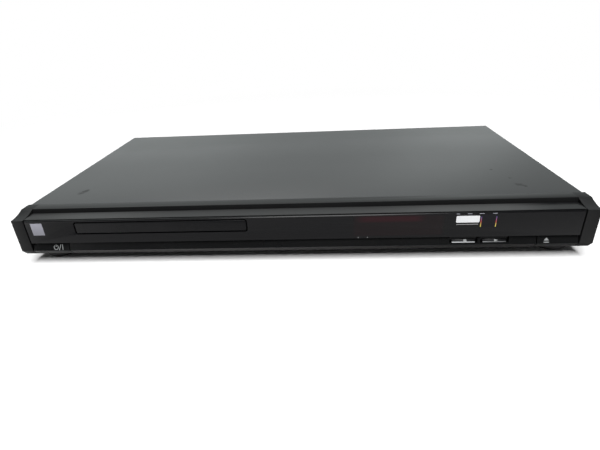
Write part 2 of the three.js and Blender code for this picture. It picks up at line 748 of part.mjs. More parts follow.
function loaderFrame() {
  const outside = frameInside + frameWall;
  const rear = pivotY + frameTail;
  let frame = centredBox(trayCentre, outside, frameY, rear, frameFloor, frameFloorTop);
  frame = frame.subtract(centredBox(trayCentre, traverseWidth / 2 - floorMargin,
    camSpan[1] + frameWall + slip, pivotY - floorMargin, 0, frameFloorTop + overrun));
  for (const side of [-1, 1]) {
    const strip = (near, far) => [trayCentre + side * near, trayCentre + side * far]
      .sort((a, b) => a - b);
    frame = frame.add(box(...strip(frameInside, outside), frameY, rear, frameFloor, frameTop));
    frame = frame.add(box(...strip(frameInside - railWidth, outside), frameY, rear,
      trayFoot - fit - railHeight, trayFoot - fit));
    for (const share of keeperShares) {
      const y = frameY + share * (rear - frameY);
      frame = frame.add(box(...strip(frameInside - railWidth / 2, outside), y - keeperLength / 2,
        y + keeperLength / 2, trayTop + fit, frameTop));
    }
    const pivotEnd = traverseWidth / 2 + pivotReach;
    const seat = box(...strip(pivotEnd - pivotReach / 2, pivotEnd + frameWall),
      pivotY - pivotSeatLength / 2, pivotY + pivotSeatLength / 2, frameFloor,
      pivotHeight + shaftRadius + frameWall);
    const notch = box(...strip(traverseWidth / 2, pivotEnd + fit),
      pivotY - shaftRadius - fit, pivotY + shaftRadius + fit, pivotHeight, pivotHeight + seatCut);
    const bore = barX(pivotY, pivotHeight, ...strip(traverseWidth / 2, pivotEnd + fit),
      shaftRadius + fit, barrelSides);
    frame = frame.add(seat).subtract(notch).subtract(bore);
    for (const y of [coverFrontY + panelLap + legInset, rear - legInset]) {
      frame = frame.add(post(trayCentre + side * (outside - legRadius), y, floorTop + fit,
        frameFloorTop, legRadius, wireSides));
    }
  }
  frame = frame.add(centredBox(trayCentre, frameInside + fit, frameY, frameY + deckLength,
    deckHeight, deckTop));
  frame = frame.add(centredBox(trayCentre, frameInside + fit, rear - frameWall, rear, frameFloor,
    trayFoot - fit - railHeight));
  for (const y of [camSpan[0] - fit - frameWall, camSpan[1] + fit]) {
    frame = frame.add(centredBox(trayCentre, frameInside - floorMargin, y, y + frameWall,
      frameFloor, frameFloorTop + guideRib));
  }
  const wheelTip = driveToothSize * (driveWheelTeeth / 2 + addendumShare);
  const rimClear = frontY + panelReach - rimWidth + panelWall + slip;
  frame = cut(frame,
    post(driveX, gearY, wheelFoot - fit, wheelFoot + wheelHeight + fit, wheelTip + slip),
    centredBox(trayCentre, frameInside + frameWall + overrun, frameY - overrun, rimClear,
      ledgeHeight - panelWall - fit, caseHeight));
  frame = frame.subtract(post(motorX, gearY, deckHeight - overrun, deckTop + overrun,
    motorShaftRadius + slip, barrelSides));
  for (const x of [driveX, pulleyX]) {
    frame = frame.add(post(x, gearY, deckHeight, postTop - fit, shaftRadius, wireSides));
  }
  return frame;
}
addPiece('loader_frame', loaderFrame(), framePlastic);

// Tray drive gear: a wheel below and the pinion that drives the rack above.
function driveGear() {
  const wheel = alongZ(gearShape(driveToothSize, driveWheelTeeth, driveX, gearY, 0), wheelFoot,
    wheelFoot + wheelHeight);
  const pinion = alongZ(gearShape(driveToothSize, rackPinionTeeth, driveX, gearY, Math.PI),
    wheelFoot + wheelHeight / 2, postTop);
  return wheel.add(pinion)
    .subtract(post(driveX, gearY, 0, caseHeight, shaftRadius + fit, wireSides));
}
addPiece('tray_drive_gear', driveGear(), whiteNylon);

// Pulley gear: a grooved pulley above the pinion that turns the wheel.
function grooved(radius, foot, height) {
  const groove = radius - beltThickness;
  return [[radius, foot], [radius, foot + flangeHeight], [groove, foot + flangeHeight],
    [groove, foot + height - flangeHeight], [radius, foot + height - flangeHeight],
    [radius, foot + height]];
}
function pulleyGear() {
  const phase = Math.PI + Math.PI / pulleyPinionTeeth;
  const pinion = alongZ(gearShape(driveToothSize, pulleyPinionTeeth, pulleyX, gearY, phase),
    wheelFoot, pulleyFoot + fit);
  const pulley = turned([[0, pulleyFoot], ...grooved(pulleyRadius, pulleyFoot, pulleyHeight),
    [0, pulleyFoot + pulleyHeight]]).translate(pulleyX, gearY, 0);
  return pinion.add(pulley)
    .subtract(post(pulleyX, gearY, 0, caseHeight, shaftRadius + fit, wireSides));
}
addPiece('pulley_gear', pulleyGear(), whiteNylon);

// Loading motor, held under the deck, with its shaft through it.
const motorTop = deckHeight - fit;
function loadingMotor() {
  const can = post(motorX, gearY, frameFloorTop + fit, motorTop, motorRadius)
    .intersect(centredBox(motorX, motorRadius + overrun, gearY - motorFlat, gearY + motorFlat, 0,
      caseHeight));
  return can.add(post(motorX, gearY, motorTop - overrun, pulleyFoot + pulleyHeight,
    motorShaftRadius, wireSides));
}
addPiece('loading_motor', loadingMotor(), bareSteel);

function motorPulley() {
  const spool = turned([[0, pulleyFoot],
    ...grooved(motorPulleyRadius + flangeHeight, pulleyFoot, pulleyHeight),
    [0, pulleyFoot + pulleyHeight]], barrelSides).translate(motorX, gearY, 0);
  return spool.subtract(post(motorX, gearY, 0, caseHeight, motorShaftRadius + fit, wireSides));
}
addPiece('motor_pulley', motorPulley(), whiteNylon);

// Drive belt: a loop round both pulleys, tangent to their grooves.
function beltShape(grow) {
  const big = pulleyRadius - beltThickness + fit + grow;
  const small = motorPulleyRadius + flangeHeight - beltThickness + fit + grow;
  const lean = Math.acos((big - small) / pulleySpacing);
  const shape = new THREE.Shape();
  shape.absarc(pulleyX, gearY, big, lean, 2 * Math.PI - lean);
  shape.absarc(motorX, gearY, small, -lean, lean);
  return shape;
}
const beltFoot = pulleyFoot + (pulleyHeight - beltHeight) / 2;
addPiece('drive_belt', alongZ(beltShape(beltThickness), beltFoot, beltFoot + beltHeight, wireSides)
  .subtract(alongZ(beltShape(0), beltFoot - overrun, beltFoot + beltHeight + overrun, wireSides)), rubber);

// Cam slider: a plate on edge with a slanted slot that lifts the traverse's pin.
const pinX = trayCentre + pinOffset;
function camSlider() {
  const left = trayCentre - camLength / 2 - pinOffset;
  const plate = box(left, left + camLength, ...camSpan, frameFloorTop + fit, deckHeight - fit);
  const angle = Math.atan2(camRise, -camTravel);
  const slot = pinRadius + fit + slip / 2;
  const shape = new THREE.Shape();
  shape.absarc(pinX, pinHeight, slot, angle + Math.PI / 2, angle + 1.5 * Math.PI);
  shape.absarc(pinX - camTravel, pinHeight + camRise, slot, angle - Math.PI / 2, angle + Math.PI / 2);
  return plate.subtract(alongY(shape, camSpan[0] - overrun, camSpan[1] + overrun, slotSteps));
}
addPiece('cam_slider', camSlider(), whiteNylon);

// Traverse plate: steel, with turned-down sides, a pin in front, pivots behind and the rods' seats.
const plateTop = traversePlate + traverseThickness;
const traverseY = frontY + traverseFront;
const traverseRear = pivotY + traverseTail;
const rodY = [spindleY + rodSeatBack,
  spindleY + lensStart + sledLength / 2 + sledTravel + 2 * shaftRadius];
const rackGearX = trayCentre + feedRackOffset + feedToothSize * feedGearTeeth / 2;
const rackGearY = spindleY + feedGearBack;
const feedPinionY = rackGearY + feedToothSize * (feedGearTeeth + feedPinionTeeth) / 2;
function traversePiece() {
  const half = traverseWidth / 2;
  let plate = centredBox(trayCentre, half, traverseY, traverseRear, traversePlate, plateTop);
  for (const side of [-1, 1]) {
    const strip = (near, far) => [trayCentre + side * near, trayCentre + side * far]
      .sort((a, b) => a - b);
    plate = plate.add(box(...strip(half - traverseThickness, half), traverseY, traverseRear,
      traversePlate - traverseFlange, plateTop));
    plate = plate.add(barX(pivotY, pivotHeight, ...strip(half - traverseThickness / 2,
      half + pivotReach), shaftRadius, wireSides));
    for (const y of rodY) {
      const seat = box(...strip(rodSpread - 2 * shaftRadius, rodSpread + 2 * shaftRadius), y - shaftRadius,
        y + shaftRadius, traversePlate, rodHeight + shaftRadius);
      const groove = joined(
        barY(trayCentre + side * rodSpread, rodHeight, y - seatCut, y + seatCut,
          shaftRadius + fit, wireSides),
        box(...strip(rodSpread - shaftRadius - fit, rodSpread + shaftRadius + fit), y - seatCut,
          y + seatCut, rodHeight, rodHeight + seatCut));
      plate = plate.add(seat).subtract(groove);
    }
  }
  const well = box(trayCentre - sledWidth / 2 + wellInset, trayCentre + rodSpread - 3 * shaftRadius,
    rodY[0] + 2 * shaftRadius, rodY[1] - 2 * shaftRadius, 0, plateTop + overrun);
  const boss = centredBox(pinX, 2 * pinRadius, traverseY - pinRadius, traverseY + bossLength,
    pinHeight - 2 * pinRadius, traversePlate + traverseThickness / 2);
  plate = cut(plate, well, post(trayCentre, spindleY, 0, plateTop + overrun, hubRadius + slip));
  plate = joined(plate, boss, barY(pinX, pinHeight, camSpan[0] - slip, traverseY, pinRadius, wireSides),
    post(rackGearX, rackGearY, traversePlate, plateTop + feedGearHeight + 2 * fit, shaftRadius,
      wireSides));
  return plate.subtract(post(rackGearX, feedPinionY, 0, plateTop + overrun,
    motorShaftRadius + slip, wireSides));
}
addPiece('traverse_plate', traversePiece(), bareSteel);

// Spindle motor under the plate and the turntable above it.
addPiece('spindle_motor', post(trayCentre, spindleY, traversePlate - fit - spindleMotorHeight,
  traversePlate - fit, spindleMotorRadius), bareSteel);
const platterFoot = platterTop - platterThickness;
addPiece('turntable', turned([[0, traversePlate], [hubRadius, traversePlate],
  [hubRadius, platterFoot], [platterRadius, platterFoot], [platterRadius, platterTop],
  [coneRadius, platterTop], [coneTipRadius, platterTop + coneHeight], [0, platterTop + coneHeight]])
  .translate(trayCentre, spindleY, 0), blackMoulding);

// Clamper bridge across the frame and the clamper that hangs in its hole.
addPiece('clamper_bridge', centredBox(trayCentre, frameInside + frameWall, spindleY - bridgeWidth / 2,
  spindleY + bridgeWidth / 2, bridgeHeight, bridgeHeight + sheet)
  .subtract(post(trayCentre, spindleY, 0, caseHeight, clamperNeckRadius + slip)), bareSteel);
const clamperFoot = trayTop + fit;
const neckFoot = clamperFoot + clamperThickness;
const flangeFoot = bridgeHeight + sheet + fit;
const flangeTop = flangeFoot + clamperFlangeHeight;
addPiece('clamper', turned([[0, clamperFoot], [clamperRadius, clamperFoot],
  [clamperRadius, neckFoot], [clamperNeckRadius, neckFoot], [clamperNeckRadius, flangeFoot],
  [clamperFlangeRadius, flangeFoot], [clamperFlangeRadius, flangeTop], [0, flangeTop]])
  .translate(trayCentre, spindleY, 0), blackMoulding);

// Guide rods and the pickup sled that slides on them.
for (const [name, side] of [['guide_rod_left', -1], ['guide_rod_right', 1]]) {
  addPiece(name, barY(trayCentre + side * rodSpread, rodHeight, rodY[0] - 2 * shaftRadius,
    rodY[1] + 2 * shaftRadius, shaftRadius, wireSides), bareSteel);
}
const lensY = spindleY + lensStart;
const sledY = lensY - sledLength / 2;
function pickupSled() {
  let sled = centredBox(trayCentre, sledWidth / 2, sledY, sledY + sledLength, sledBottom, sledTop);
  const rackX = trayCentre + feedRackOffset;
  const rackY0 = rackGearY + (feedRackLength - sledTravel) / 2 - feedRackLength;
  const rack = rackShape(feedToothSize, rackX, trayCentre + sledWidth / 2 - overrun, rackY0,
    rackY0 + feedRackLength, rackGearY);
  sled = sled.add(alongZ(rack, plateTop + fit, plateTop + fit + feedGearHeight));
  for (const side of [-1, 1]) {
    sled = sled.subtract(barY(trayCentre + side * rodSpread, rodHeight, sledY - overrun,
      sledY + sledLength + overrun, shaftRadius + fit, wireSides));
  }
  return sled.subtract(post(trayCentre, lensY, sledTop - lensHeight, sledTop + overrun,
    lensBarrelRadius + fit));
}
addPiece('pickup_sled', pickupSled(), chipBlack);
addPiece('objective_lens', turned([[0, 0], [lensBarrelRadius, 0], [lensBarrelRadius, lensHeight],
  [lensRadius, lensHeight], [lensRadius, lensHeight + lensStand], [0, lensHeight + lensStand]])
  .translate(trayCentre, lensY, sledTop - lensHeight + fit), lensGlass);

// Feed gear, its pinion and the feed motor.
const feedGearZ = [plateTop + fit, plateTop + fit + feedGearHeight];
const feedGearOutline = gearShape(feedToothSize, feedGearTeeth, rackGearX, rackGearY, Math.PI);
addPiece('feed_gear', alongZ(feedGearOutline, ...feedGearZ)
  .subtract(post(rackGearX, rackGearY, 0, caseHeight, shaftRadius + fit, wireSides)), whiteNylon);
const feedPinionOutline = gearShape(feedToothSize, feedPinionTeeth, rackGearX, feedPinionY,
  -Math.PI / 2 + Math.PI / feedPinionTeeth);
addPiece('feed_pinion', alongZ(feedPinionOutline, ...feedGearZ)
  .subtract(post(rackGearX, feedPinionY, 0, caseHeight, motorShaftRadius + fit, wireSides)),
whiteNylon);
addPiece('feed_motor', post(rackGearX, feedPinionY, traversePlate - fit - feedMotorHeight,
  traversePlate - fit, feedMotorRadius)
  .add(post(rackGearX, feedPinionY, traversePlate - overrun, feedGearZ[1], motorShaftRadius,
    wireSides)), bareSteel);

// Keys. The end keys take in the lip; the two middle keys are small caps with a bar.
const stemZ = [switchHeight - stemHeight / 2, switchHeight + stemHeight / 2];
const switchFront = frontY + frontBoardBack - fit - switchDepth - switchButton;
const stemEnd = switchFront - keyTravel - fit;
function endKey(x0, x1, switchX) {
  const top = bandTop - keyGap / 2;
  const inner = bandFace + keyWall;
  const cap = alongX(outline([
    [bandFace, top],
    [bandFoot, lipHeight],
    [frontY, lipHeight],
    [frontY + chamferRun, chamferFoot],
    [frontY + underRun - keyTravel - fit, panelFloor + keyTravel],
    [frontY + underRun - keyTravel - fit, chamferFoot],
    [inner, lipHeight],
    [inner, top],
  ]), x0, x1);
  return cap.add(centredBox(switchX, stemWidth / 2, inner - overrun, stemEnd, ...stemZ));
}
const powerSwitchX = -wingInside + endSwitchInset;
const openSwitchX = wingInside - endSwitchInset;
addPiece('power_key', endKey(-wingInside + keyGap, powerKeyRight, powerSwitchX), blackMoulding);
addPiece('open_close_key', endKey(openKeyLeft, wingInside - keyGap, openSwitchX), blackMoulding);

function smallKey(left) {
  const x0 = left + slip;
  const x1 = left + smallKeyWidth - slip;
  const face = frontY + smallKeyDepth;
  const cap = box(x0, x1, face, face + slip + keyWall / 2, smallKeyFoot + slip, bandTop - slip);
  const foot = smallKeyFoot + slip;
  const bar = alongX(outline([
    [face - barReach, foot],
    [face + keyWall / 2, foot],
    [face + keyWall / 2, foot + barHeight],
    [face - barReach + barRun, foot + barHeight],
    [face - barReach, foot + barLip],
  ]), x0 + smallKeyInset, x1 - smallKeyInset);
  return joined(cap, bar, centredBox((x0 + x1) / 2, stemWidth / 2, face, stemEnd, ...stemZ));
}
addPiece('stop_key', smallKey(stopKeyLeft), blackMoulding);
addPiece('play_key', smallKey(playKeyLeft), blackMoulding);

// Front boards, upright behind the panel, with the key switches and the display.
const frontBoardY = frontY + frontBoardBack;
const frontBoardFoot = panelFloor + panelWall + fit;
addPiece('front_board', box(windowLeft - frontBoardMargin, wingInside - keyGap, frontBoardY,
  frontBoardY + boardThickness, frontBoardFoot, frontBoardTop), boardTan);
const smallBoardRight = trayCentre - frameInside - frameWall - smallBoardClear;
addPiece('power_key_board', box(-wingInside + fit, smallBoardRight, frontBoardY,
  frontBoardY + boardThickness, frontBoardFoot, frontBoardTop - boardHeight), boardTan);
const switchPlaces = {
  power_switch: powerSwitchX,
  stop_switch: stopKeyLeft + smallKeyWidth / 2,
  play_switch: playKeyLeft + smallKeyWidth / 2,
  open_close_switch: openSwitchX,
};
for (const [name, x] of Object.entries(switchPlaces)) {
  const back = frontBoardY - fit;
  const body = centredBox(x, switchSize / 2, back - switchDepth, back, switchHeight - switchSize / 2,
    switchHeight + switchSize / 2);
  const button = barY(x, switchHeight, switchFront, back - overrun, switchButtonRadius, wireSides);
  addPiece(name, body.add(button), chipBlack);
}
addPiece('display_module', box(windowLeft, windowLeft + windowWidth,
  frontY + ledgeFront + panelWall + fit, frontBoardY - fit, windowFoot - slip, windowTop - fit),
chipBlack);

// Rear panel: a plate with holes for the inlet and the sockets.
const inletX = halfWidth - inletInset;
const hdmiX = socketShares.hdmi * caseWidth;
const coaxX = socketShares.coax * caseWidth;
const jackBlockX = socketShares.block * caseWidth;
const jackPlaces = [];
for (let column = 0; column < jackColumns; column += 1) {
  for (let row = 0; row < jackRows; row += 1) {
    jackPlaces.push([jackBlockX + (column - (jackColumns - 1) / 2) * jackPitch,
      jackHeight + row * jackRowPitch]);
  }
}
const rearScrewX = rearScrewShares.map((share) => share * caseWidth);
const rearScrewZ = caseHeight - rearScrewDrop;
const boardTop = boardUnder + boardThickness;
const onBoard = boardTop + fit;
const hdmiMiddle = onBoard + hdmiHeight / 2;
const inletFoot = onBoard;
function rearPanel() {
  const half = chassisHalf - sheet - fit;
  const through = [rearPanelY - overrun, rearPanelY + sheet + overrun];
  let panel = centredBox(0, half, rearPanelY, rearPanelY + sheet, floorTop + fit, rearPanelTop);
  panel = cut(panel,
    centredBox(inletX, inletWidth / 2 + fit, ...through, inletFoot - fit,
      inletFoot + inletHeight + fit),
    centredBox(hdmiX, hdmiWidth / 2 + fit, ...through, hdmiMiddle - hdmiHeight / 2 - fit,
      hdmiMiddle + hdmiHeight / 2 + fit));
  for (const [x, z] of [[coaxX, jackHeight], ...jackPlaces]) {
    panel = panel.subtract(barY(x, z, ...through, jackRadius + fit, barrelSides));
  }
  for (const x of rearScrewX) {
    panel = panel.subtract(barY(x, rearScrewZ, ...through, screwShankRadius + fit, wireSides));
  }
  return panel;
}
addPiece('rear_panel', rearPanel(), paintedSteel);

// AC inlet: a figure-of-eight socket with two pins.
const socketY = rearPanelY + sheet;
function acInlet() {
  const z0 = inletFoot;
  const z1 = inletFoot + inletHeight;
  const mouth = socketY + 2 * sheet;
  const body = centredBox(inletX, inletWidth / 2, socketY - inletDepth, mouth, z0, z1);
  const bottom = socketY - inletDepth + inletWall;
  const hollow = alongY(roundedShape(inletX - inletWidth / 2 + inletWall,
    inletX + inletWidth / 2 - inletWall, z0 + inletWall, z1 - inletWall,
    inletHeight / 2 - inletWall - fit), bottom, mouth + overrun);
  let inlet = body.subtract(hollow);
  for (const side of [-1, 1]) {
    inlet = inlet.add(barY(inletX + side * inletPinSpacing / 2, (z0 + z1) / 2,
      bottom - inletWall / 2, socketY - inletWall, inletPinRadius, wireSides));
  }
  return inlet;
}
addPiece('ac_inlet', acInlet(), chipBlack);

// HDMI-size socket: a steel shell with its tongue.
function shellSocket() {
  const half = hdmiWidth / 2;
  const low = hdmiMiddle - hdmiHeight / 2;
  const high = hdmiMiddle + hdmiHeight / 2;
  const back = socketY - hdmiDepth;
  const body = centredBox(hdmiX, half, back, socketY + sheet, low, high);
  const hollow = centredBox(hdmiX, half - hdmiWall, back + hdmiWall, socketY + sheet + overrun,
    low + hdmiWall, high - hdmiWall);
  const tongue = centredBox(hdmiX, half - 3 * hdmiWall, back, socketY - sheet,
    hdmiMiddle - hdmiWall, hdmiMiddle + hdmiWall);
  return body.subtract(hollow).add(tongue);
}
addPiece('hdmi_socket', shellSocket(), bareSteel);

// Round jacks: a block behind the rear panel with barrels that stand out of it.
function jackBlock(places, left, right, foot, top) {
  let block = box(left, right, socketY - jackBlockDepth, rearPanelY - fit, foot, top);
  for (const [x, z] of places) {
    block = block.add(barY(x, z, rearPanelY - overrun, rearY + jackReach, jackRadius, barrelSides));
  }
  for (const [x, z] of places) {
    block = block.subtract(barY(x, z, rearY - overrun, rearY + jackReach + overrun, jackBore,
      wireSides));
  }
  return block;
}
const jackEdge = jackRadius + jackBlockMargin;
addPiece('coaxial_jack', jackBlock([[coaxX, jackHeight]], coaxX - jackEdge, coaxX + jackEdge,
  onBoard, jackHeight + jackEdge), chipBlack);
const blockHalf = (jackColumns - 1) / 2 * jackPitch + jackEdge;
addPiece('av_jack_block', jackBlock(jackPlaces, jackBlockX - blockHalf, jackBlockX + blockHalf,
  onBoard, jackHeight + (jackRows - 1) * jackRowPitch + jackEdge), chipBlack);

// Main board and power board, on the chassis posts, and what stands on them.
const [mainPlace, powerPlace] = boards;
const board = ({ left, right, front }) => box(left, right, front, rearPanelY - fit, boardUnder,
  boardTop);
addPiece('main_board', board(mainPlace), boardGreen);
addPiece('power_board', board(powerPlace), boardTan);
function standing(x, y, halfX, halfY, height) {
  return box(x - halfX, x + halfX, y - halfY, y + halfY, onBoard, onBoard + height);
}
const mainMiddleX = (mainPlace.left + mainPlace.right) / 2;
const mainMiddleY = (mainPlace.front + boardRearY) / 2;
addPiece('decoder_chip', standing(mainMiddleX - chipSize, mainMiddleY, chipSize / 2, chipSize / 2,
  chipHeight), chipBlack);
addPiece('memory_chip', standing(mainMiddleX + chipSize / 2, mainMiddleY, smallChipSize / 2,
  chipSize / 2, chipHeight), chipBlack);
const powerMiddleX = (powerPlace.left + powerPlace.right) / 2;
const powerMiddleY = (powerPlace.front + boardRearY) / 2;
const powerWidth = powerPlace.right - powerPlace.left;
const transformerX = powerMiddleX + transformerShare * powerWidth;
const capacitorX = powerMiddleX + capacitorShare * powerWidth;
addPiece('transformer', joined(
  standing(transformerX, powerMiddleY, transformerSize / 2, transformerSize / 2, transformerHeight),
  standing(transformerX, powerMiddleY, transformerSize / 3, transformerSize / 2 + windingReach,
    transformerHeight * 2 / 3)), yellowTape);
addPiece('bulk_capacitor', post(capacitorX, powerMiddleY + capacitorRadius * 2, onBoard,
  onBoard + capacitorHeight, capacitorRadius), capacitorSleeve);
function heatSink() {
  const x0 = capacitorX - sinkLength / 2;
  const y0 = powerPlace.front + postInset + postRadius + capacitorRadius;
  let sink = box(x0, x0 + sinkLength, y0, y0 + sinkBase, onBoard, onBoard + sinkHeight);
  const pitch = (sinkLength - finThickness) / (finCount - 1);
  for (let i = 0; i < finCount; i += 1) {
    const x = x0 + i * pitch;
    sink = sink.add(box(x, x + finThickness, y0, y0 + sinkBase + finReach, onBoard,
      onBoard + sinkHeight));
  }
  return sink;
}
addPiece('heat_sink', heatSink(), aluminium);

// Flat cable from the front board to the main board, in one easy sag.
function flatCable() {
  const start = [frontBoardY + boardThickness + fit, frontBoardTop - boardHeight];
  const end = [mainPlace.front + postInset, onBoard];
  const line = new THREE.CubicBezierCurve(
    new THREE.Vector2(...start),
    new THREE.Vector2(start[0] + cableDrop * 3, start[1]),
    new THREE.Vector2(end[0] - cableDrop * 4, end[1] + cableThickness),
    new THREE.Vector2(end[0], end[1] + cableThickness / 2));
  const points = line.getPoints(cableSteps);
  const above = points.map(({ x, y }) => [x, y + cableThickness / 2]);
  const below = points.map(({ x, y }) => [x, y - cableThickness / 2]).reverse();
  const x = cableShare * caseWidth;
  return alongX(outline([...above, ...below]), x - cableWidth / 2, x + cableWidth / 2);
}
addPiece('front_flat_cable', flatCable(), cableWhite);

// Top cover: a bent sheet that closes the case, with a flange over the rear panel.
function topCover() {
  const bentShape = (inset, foot) => {
    const half = halfWidth - inset;
    const top = caseHeight - inset;
    const radius = coverBend - inset;
    const shape = new THREE.Shape();
    shape.moveTo(-half, foot);
    shape.lineTo(half, foot);
    shape.absarc(half - radius, top - radius, radius, 0, Math.PI / 2);
    shape.absarc(-half + radius, top - radius, radius, Math.PI / 2, Math.PI);
    return shape;
  };
  const foot = footHeight + fit + coverLift;
  let cover = alongY(bentShape(0, foot), coverFrontY, rearY, bendSteps);
  cover = cover.subtract(alongY(bentShape(sheet, foot - overrun), coverFrontY - overrun,
    rearY + overrun, bendSteps));
  cover = cover.add(centredBox(0, halfWidth - coverBend, rearY - sheet, rearY,
    caseHeight - coverFlange, caseHeight - sheet / 2));
  for (const x of rearScrewX) {
    cover = cover.subtract(barY(x, rearScrewZ, rearY - sheet - overrun, rearY + overrun,
      screwShankRadius + fit, wireSides));
  }
  for (const side of [-1, 1]) {
    const span = [side * (halfWidth - sheet - overrun), side * (halfWidth + overrun)]
      .sort((a, b) => a - b);
    cover = cover.subtract(barX(frontY + sideScrewBack, sideScrewHeight, ...span,
      screwShankRadius + fit, wireSides));
  }
  return cover;
}
addPiece('top_cover', topCover(), paintedSteel);

// Cover screws: three through the rear flange, one on each side.
function screw() {
  return turned([[0, -screwLength], [screwShankRadius, -screwLength], [screwShankRadius, fit],
    [screwHeadRadius, fit], [screwHeadRadius, fit + screwHeadHeight / 2],
    [screwHeadRadius / 2, fit + screwHeadHeight], [0, fit + screwHeadHeight]], wireSides);
}
rearScrewX.forEach((x, index) => {
  const place = screw().rotate([-90, 0, 0]).translate(x, rearY, rearScrewZ);
  addPiece(`rear_screw_${index + 1}`, place, bareSteel);
});
addPiece('side_screw_left', screw().rotate([0, -90, 0]).translate(-halfWidth, frontY + sideScrewBack,
  sideScrewHeight), bareSteel);
addPiece('side_screw_right', screw().rotate([0, 90, 0]).translate(halfWidth, frontY + sideScrewBack,
  sideScrewHeight), bareSteel);

export default player;
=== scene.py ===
from math import cos, pi, radians, sin

import bmesh
import bpy
from mathutils import Matrix, Vector
from mathutils.bvhtree import BVHTree


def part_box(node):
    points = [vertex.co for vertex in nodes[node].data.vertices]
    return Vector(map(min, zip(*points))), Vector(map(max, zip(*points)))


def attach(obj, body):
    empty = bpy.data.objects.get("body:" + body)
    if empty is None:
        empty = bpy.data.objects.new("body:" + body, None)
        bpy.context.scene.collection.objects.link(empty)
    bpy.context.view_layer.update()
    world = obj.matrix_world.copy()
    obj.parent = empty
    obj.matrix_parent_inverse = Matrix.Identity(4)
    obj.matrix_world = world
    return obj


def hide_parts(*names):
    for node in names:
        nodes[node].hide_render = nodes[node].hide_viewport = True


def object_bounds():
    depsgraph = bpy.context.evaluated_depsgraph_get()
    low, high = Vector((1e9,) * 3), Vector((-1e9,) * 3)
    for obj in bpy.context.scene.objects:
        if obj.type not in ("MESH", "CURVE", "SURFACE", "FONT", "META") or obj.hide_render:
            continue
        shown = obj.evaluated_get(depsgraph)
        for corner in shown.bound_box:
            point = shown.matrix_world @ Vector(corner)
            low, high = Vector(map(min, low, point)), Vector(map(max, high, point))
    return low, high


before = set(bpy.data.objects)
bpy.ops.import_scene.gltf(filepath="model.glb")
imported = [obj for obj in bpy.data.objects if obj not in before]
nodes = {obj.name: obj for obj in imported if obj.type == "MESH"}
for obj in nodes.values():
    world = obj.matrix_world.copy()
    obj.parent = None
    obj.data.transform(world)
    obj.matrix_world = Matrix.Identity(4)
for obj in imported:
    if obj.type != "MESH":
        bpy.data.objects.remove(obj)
cad_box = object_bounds()
mm = 0.001

# The camera stands a little right of the middle and looks down over the front panel.
# Its place, turns and focal length were solved from the cover's corners and the panel's long edges.
camera = bpy.data.objects.new("camera", bpy.data.cameras.new("camera"))
image_width = 600
focal_pixels = 399.757
camera.data.lens = camera.data.sensor_width * focal_pixels / image_width
camera_place = Vector((26.93, -374.29, 168.17)) * mm
heading = Matrix.Rotation(radians(4.584), 4, "Z")
tilt = Matrix.Rotation(radians(90 - 27.579), 4, "X")
roll = Matrix.Rotation(radians(-3.167), 4, "Z")
camera.matrix_world = Matrix.Translation(camera_place) @ heading @ tilt @ roll
bpy.context.scene.collection.objects.link(camera)
bpy.context.scene.camera = camera


# Base chassis: a pan of zinc-plated sheet, cut and pressed in one tool, that carries everything else.
# The plating shows a faint spangle and fine rolling lines inside. The underside is coated satin black.
class Signal:
    """What a node's socket gives. Sums and products of signals become Math nodes."""

    def __init__(self, graph, socket):
        self.graph = graph
        self.socket = socket

    def maths(self, operation, first, second):
        return self.graph.node("ShaderNodeMath", {"operation": operation}, {0: first, 1: second})

    def __add__(self, other):
        return self.maths("ADD", self, other)

    def __mul__(self, other):
        return self.maths("MULTIPLY", self, other)

    def __sub__(self, other):
        return self.maths("SUBTRACT", self, other)

    def __rsub__(self, other):
        return self.maths("SUBTRACT", other, self)

    __radd__ = __add__
    __rmul__ = __mul__


class Graph:
    """A tree of nodes. One call makes a node, with its settings and what goes into its sockets."""

    def __init__(self, tree):
        self.tree = tree

    def node(self, kind, settings=None, sockets=None, output=0):
        made = self.tree.nodes.new(kind)
        for name, value in (settings or {}).items():
            if name == "stops":
                ramp = made.color_ramp.elements
                while len(ramp) < len(value):
                    ramp.new(1)
                for stop, (position, color) in zip(ramp, value):
                    stop.position = position
                    stop.color = (*color, 1)
            else:
                setattr(made, name, value)
        for key, value in (sockets or {}).items():
            socket = made.inputs[key]
            if isinstance(value, list):
                for part in value:
                    self.tree.links.new(part.socket, socket)
            elif isinstance(value, Signal):
                self.tree.links.new(value.socket, socket)
            elif socket.type == "RGBA":
                socket.default_value = (*value, 1)
            else:
                socket.default_value = value
        return Signal(self, made.outputs[output]) if made.outputs else None


